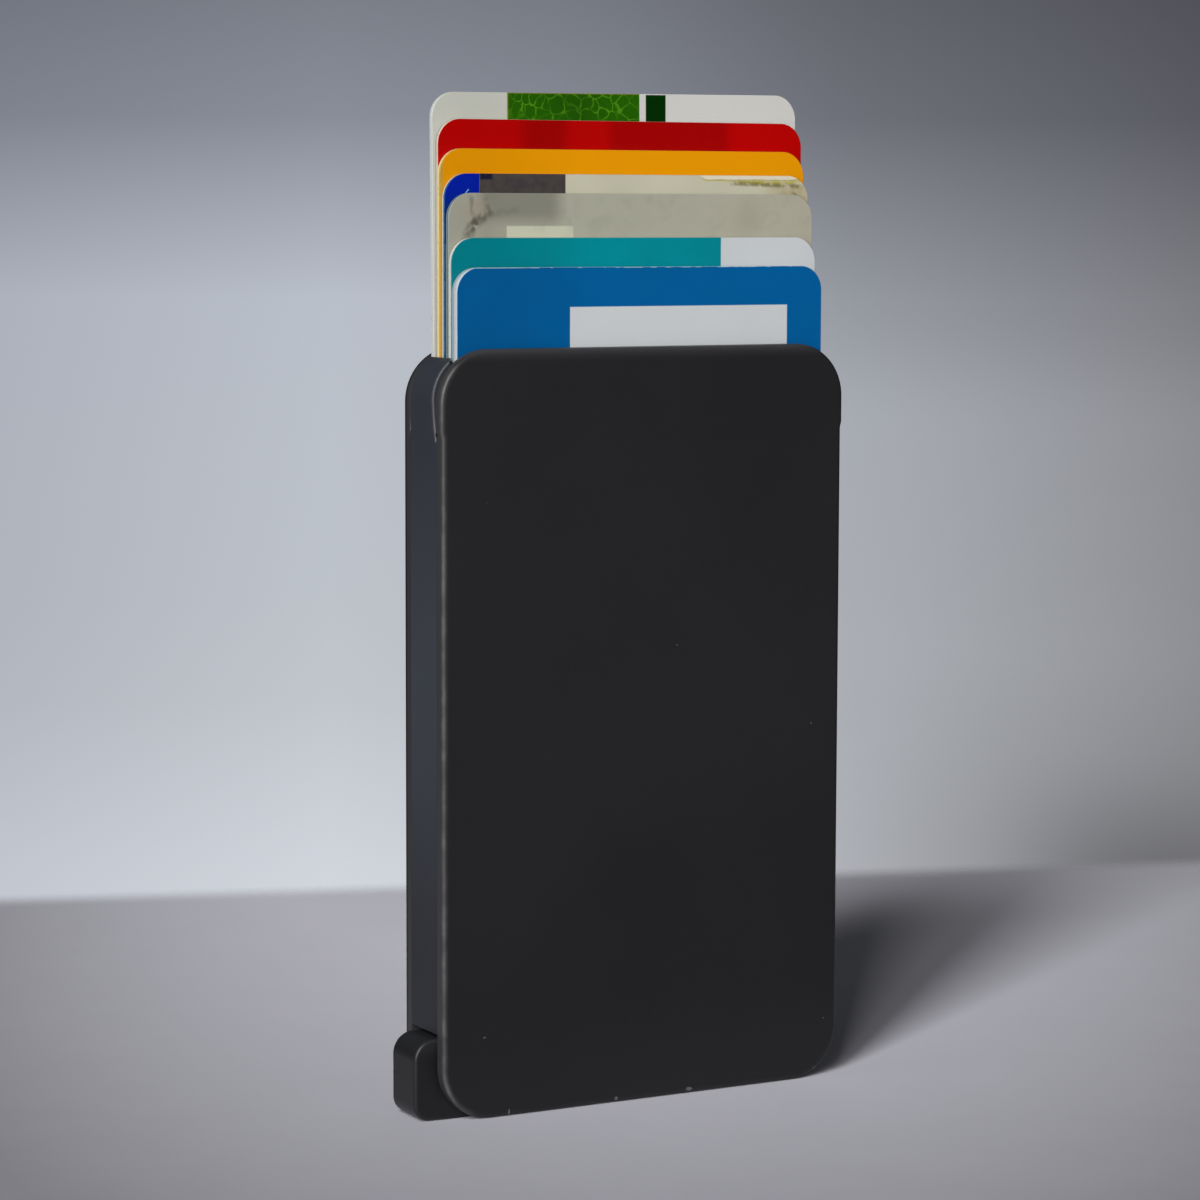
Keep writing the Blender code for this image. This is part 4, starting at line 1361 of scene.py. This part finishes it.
def coil_ends(lever):
    """The middle of the coil's fixed end, and of its end that turns with the lever."""
    fixed_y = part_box("ejector_lever")[1].y - lever.spring_play - lever.wire / 2
    turning_y = fixed_y - lever.coil_pitch * lever.coil_turns + lever.wire / 2
    return Vector((PIVOT.x, fixed_y, PIVOT.z)), Vector((PIVOT.x, turning_y, PIVOT.z))


def return_spring(lever, steps):
    """A torsion spring: tang, bend, coil round the pin and an arm in the lever."""
    shape = bmesh.new()
    lean = math.atan2(lever.bend, lever.coil_radius)
    onward = Vector((math.sin(lean), 0, math.cos(lean)))
    out = PIVOT - Vector((math.hypot(lever.coil_radius, lever.bend), 0, 0))
    coil_y = coil_ends(lever)[0].y
    tang_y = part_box("back_cover")[0].y + lever.tang
    bmesh.ops.create_circle(shape, cap_ends=True, segments=WIRE_SIDES, radius=lever.wire / 2)
    tilt(shape, math.pi / 2, "X")
    move(shape, (out.x, tang_y, out.z))
    end = go(shape, shape.faces[:][0], (0, coil_y + lever.bend - tang_y, 0))
    bend_centre = out + onward * lever.bend
    bend_centre.y = coil_y + lever.bend
    end = turn(shape, end, bend_centre, (-onward.z, 0, onward.x), 90, steps=8)
    turned = 360 * lever.coil_turns - math.degrees(lean)
    climb = -lever.coil_pitch * lever.coil_turns
    coil_steps = round(lever.coil_turns * steps * 2)
    end = turn(shape, end, PIVOT, (0, 1, 0), turned, coil_steps, climb)
    go(shape, end, (lever.arm, 0, 0))
    return shape


# The cards


def card_plate(node, cards, steps):
    """A card: a thin plate with round corners and barely rounded edges."""
    low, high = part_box(node)
    shape = block(low, high)
    round_over(shape, edges_along_y(shape), cards.corner_radius, steps)
    round_over(shape, sharp_edges(shape), cards.edge_radius, steps=2)
    tilt(shape, -card_lean(node, cards), "Y", high)
    move(shape, (card_nudge(node, cards), 0, 0))
    return shape


# The stage


def floor_plane(stage):
    """A wide floor that ends behind the wallet in a straight, soft edge.

    Its tone follows how the room's light falls over it: a plane and a bow over the floor,
    counted in units of 100 mm from the wallet.
    """
    edge = Vector((37, 148.7, 0)) * MM
    edge_turn = math.radians(-17.7)
    soft, half_wide, half_deep = 7 * MM, 1.4, 0.8
    shape = bmesh.new()
    bmesh.ops.create_grid(shape, x_segments=1, y_segments=1, size=1)
    bmesh.ops.scale(shape, vec=(half_wide, half_deep, 1), verts=shape.verts)
    move(shape, (0, soft - half_deep, 0))
    tilt(shape, edge_turn, "Z")
    move(shape, edge)
    made, nodes = new_material("floor")
    x, y, z = nodes.place()
    right, back = x * 10, y * 10
    plane = 1.004 + right * 0.221 + back * 0.334
    bow = right * back * 0.401 - right * right * 0.402 - back * back * 0.173
    darkest, brightest = 0.5, 1.25
    mottle = nodes.noise(14, detail=4) * 0.05
    lit = ((plane + bow).at_least(darkest).at_most(brightest) - mottle) / brightest
    tone = nodes.blend(lit, BLACK, scaled(stage.floor, brightest))
    past_edge = (y - edge.y) * math.cos(edge_turn) - (x - edge.x) * math.sin(edge_turn)
    nodes.finish(tone, 0.85, nodes.noise(0.8), 0.02, Alpha=past_edge.rise(soft, -soft))
    mesh = mesh_of("floor", shape)
    mesh.materials.append(made)
    new_object("floor", mesh)


def studio_world(stage):
    """Even room light, and for the camera a pale wall, darker up and to the right.

    The wall's tones follow how far up and how far to the right a place is looked at.
    """
    world = bpy.data.worlds.new("studio")
    world.use_nodes = True
    bpy.context.scene.world = world
    nodes = Nodes(world.node_tree)
    x, y, z = nodes.apart(nodes.value("ShaderNodeTexCoord", output="Generated"))
    sideways = x * math.cos(stage.azimuth) + y * math.sin(stage.azimuth)
    from_floor_up = (
        (0.0, (0.68, 0.71, 0.765)),
        (0.10, (0.625, 0.66, 0.715)),
        (0.25, (0.53, 0.565, 0.61)),
        (0.34, (0.51, 0.545, 0.59)),
        (0.63, (0.49, 0.525, 0.585)),
        (0.80, (0.25, 0.27, 0.315)),
        (1.0, (0.16, 0.17, 0.20)),
    )
    from_left = (
        (0.0, (0.78, 0.78, 0.80)),
        (0.32, (1.0, 1.0, 1.0)),
        (0.5, (0.92, 0.91, 0.91)),
        (0.7, (0.755, 0.735, 0.73)),
        (1.0, (0.41, 0.38, 0.375)),
    )
    upright = nodes.ramp(z, -0.2, 0.08, from_floor_up)
    across = nodes.ramp(sideways, -0.2, 0.2, from_left)
    multiplied = {"data_type": "RGBA", "blend_type": "MULTIPLY"}
    wall = nodes.value("ShaderNodeMix", multiplied, {0: 1.0, 6: upright, 7: across}, output=2)
    upper_right = sideways.rise(-0.02, 0.08) * z.rise(-0.06, -0.02)
    cast_shadow = sideways.rise(0.0, 0.15) * z.rise(-0.11, -0.18)
    low_right = sideways.within(0.118, 0.17, 0.022) * z.rise(-0.140, -0.178)
    shaded = upper_right * 0.22 + cast_shadow * 0.38 + low_right * 0.18
    wall = nodes.blend(shaded, wall, BLACK)
    seen = nodes.value("ShaderNodeLightPath", output="Is Camera Ray")
    glow = {"Color": nodes.tint(stage.room), "Strength": stage.glow}
    room = nodes.value("ShaderNodeBackground", sockets=glow)
    shown = nodes.value("ShaderNodeBackground", sockets={"Color": wall, "Strength": 1.0})
    mixed = nodes.value("ShaderNodeMixShader", sockets={0: seen, 1: room, 2: shown})
    nodes.add("ShaderNodeOutputWorld", sockets={"Surface": mixed})


def soft_lamp(name, place, width, height, watts, tint):
    """An oblong soft lamp aimed at the wallet's middle."""
    lamp = bpy.data.lights.new(name, "AREA")
    lamp.shape = "RECTANGLE"
    lamp.size = width
    lamp.size_y = height
    lamp.energy = watts
    lamp.color = tint
    holder = new_object(name, lamp)
    holder.location = place
    middle = Vector((0, 0, 60 * MM))
    holder.rotation_euler = (middle - Vector(place)).to_track_quat("-Z", "Y").to_euler()
    holder.visible_camera = False


def photograph_camera(stage):
    """The camera at the photograph's place and angle."""
    lens = bpy.data.cameras.new("camera")
    lens.lens = stage.lens
    lens.sensor_width = 36
    lens.clip_start = 10 * MM
    camera = new_object("camera", lens)
    camera.matrix_world = (
        Matrix.Translation((stage.camera_x, stage.camera_y, stage.camera_z))
        @ Matrix.Rotation(stage.azimuth, 4, "Z")
        @ Matrix.Rotation(math.pi / 2 - stage.pitch, 4, "X")
        @ Matrix.Rotation(stage.roll, 4, "Z")
    )
    bpy.context.scene.camera = camera


# Operators


class WALLET_OT_covers(bpy.types.Operator):
    """Mould the front and the back cover"""

    bl_idname = "wallet.covers"
    bl_label = "Covers"

    def execute(self, context):
        scene = context.scene
        steps = scene.wallet_stage.curve_steps
        for node, face in (("front_cover", FRONT), ("back_cover", BACK)):
            shape = cover(node, face, scene.wallet_case, scene.wallet_lever, steps)
            fit(node, shape, cover_finish(node, scene.wallet_finish))
        return {"FINISHED"}


class WALLET_OT_walls(bpy.types.Operator):
    """Mould the left wall and the frame of the right and bottom walls"""

    bl_idname = "wallet.walls"
    bl_label = "Walls"

    def execute(self, context):
        scene = context.scene
        steps = scene.wallet_stage.curve_steps
        finishes = scene.wallet_finish
        for node, mould in (("left_side_wall", left_wall), ("right_side_frame", right_frame)):
            shape = mould(scene.wallet_case, scene.wallet_lever, steps)
            # Painted light on the walls' sides: paler over their middle height, most between 40 and 74 mm.
            painted_light_bands = ((28, 74, 20, 0.30), (40, 140, 20, 0.30))
            fit(node, shape, moulded_plastic(node, finishes.lit_wall_plastic, finishes, painted_light_bands=painted_light_bands))
        return {"FINISHED"}


class WALLET_OT_felt_strips(bpy.types.Operator):
    """Cut the two felt strips that hold the cards"""

    bl_idname = "wallet.felt_strips"
    bl_label = "Felt strips"

    def execute(self, context):
        scene = context.scene
        felt = pressed_felt("felt", scene.wallet_finish.felt)
        for node in ("front_friction_pad", "back_friction_pad"):
            fit(node, felt_strip(node, scene.wallet_case), felt)
        return {"FINISHED"}


class WALLET_OT_lever(bpy.types.Operator):
    """Mould the lever with its thumb tab and stepped fingers"""

    bl_idname = "wallet.lever"
    bl_label = "Lever"

    def execute(self, context):
        scene = context.scene
        finishes = scene.wallet_finish
        shape = ejector_lever(scene.wallet_lever, scene.wallet_stage.curve_steps)
        # Painted light on the tab's upper rounding.
        plastic, painted_light_bands = finishes.lever_plastic, ((9.4, 14, 1.4, 0.30),)
        finish = moulded_plastic("lever", plastic, finishes, painted_light_bands=painted_light_bands, wear=0.08)
        fit("ejector_lever", shape, finish)
        return {"FINISHED"}


class WALLET_OT_pin_and_spring(bpy.types.Operator):
    """Turn the pivot pin and wind the return spring"""

    bl_idname = "wallet.pin_and_spring"
    bl_label = "Pin and spring"

    def execute(self, context):
        scene = context.scene
        steel = scene.wallet_finish.steel
        lever, steps = scene.wallet_lever, scene.wallet_stage.curve_steps
        fit("pivot_pin", pivot_pin(lever, steps), bright_steel("ground_steel", steel, False))
        wire = bright_steel("spring_wire", steel, True)
        wound = (BODY_OF["ejector_lever"], *coil_ends(lever))
        fit("return_spring", return_spring(lever, steps), wire, wound)
        return {"FINISHED"}


class WALLET_OT_cards(bpy.types.Operator):
    """Punch and print the eight cards"""

    bl_idname = "wallet.cards"
    bl_label = "Cards"

    def execute(self, context):
        scene = context.scene
        cards = scene.wallet_cards
        for node in CARD_NODES:
            plate = card_plate(node, cards, scene.wallet_stage.curve_steps)
            fit(node, plate, PRINTS[node](CardPrint(node, cards)))
        return {"FINISHED"}


class WALLET_OT_stage(bpy.types.Operator):
    """Set up the floor, the room, the lamps and the camera"""

    bl_idname = "wallet.stage"
    bl_label = "Stage"

    def execute(self, context):
        scene = context.scene
        stage = scene.wallet_stage
        floor_plane(stage)
        studio_world(stage)
        warm, cool = (1.0, 0.99, 0.97), (0.95, 0.97, 1.0)
        soft_lamp("key", (-1.161, -0.962, 0.80), 0.34, 1.3, stage.key_power, warm)
        soft_lamp("side", (-0.93, -1.194, 0.80), 0.18, 1.3, stage.side_power, warm)
        soft_lamp("fill", (0.75, 1.20, 0.30), 0.6, 0.6, stage.fill_power, cool)
        photograph_camera(stage)
        scene.view_settings.view_transform = "Standard"
        return {"FINISHED"}


OPERATORS = (
    WALLET_OT_covers,
    WALLET_OT_walls,
    WALLET_OT_felt_strips,
    WALLET_OT_lever,
    WALLET_OT_pin_and_spring,
    WALLET_OT_cards,
    WALLET_OT_stage,
)


class WALLET_PT_pieces(bpy.types.Panel):
    """Lists what finishes the wallet"""

    bl_idname = "WALLET_PT_pieces"
    bl_label = "Slim Card Wallet"
    bl_space_type = "VIEW_3D"
    bl_region_type = "UI"
    bl_category = "Wallet"

    def draw(self, context):
        for operator in OPERATORS:
            self.layout.operator(operator.bl_idname)


SETTINGS = {
    "wallet_case": WalletCaseSettings,
    "wallet_lever": WalletLeverSettings,
    "wallet_cards": WalletCardSettings,
    "wallet_finish": WalletFinishSettings,
    "wallet_stage": WalletStageSettings,
}


def register():
    for name, group in SETTINGS.items():
        bpy.utils.register_class(group)
        setattr(bpy.types.Scene, name, PointerProperty(type=group))
    for operator in OPERATORS:
        bpy.utils.register_class(operator)
    bpy.utils.register_class(WALLET_PT_pieces)


def unregister():
    bpy.utils.unregister_class(WALLET_PT_pieces)
    for operator in reversed(OPERATORS):
        bpy.utils.unregister_class(operator)
    for name, group in reversed(SETTINGS.items()):
        delattr(bpy.types.Scene, name)
        bpy.utils.unregister_class(group)


def main():
    """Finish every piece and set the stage."""
    register()
    for operator in OPERATORS:
        family, name = operator.bl_idname.split(".")
        getattr(getattr(bpy.ops, family), name)()


if __name__ == "__main__":
    main()
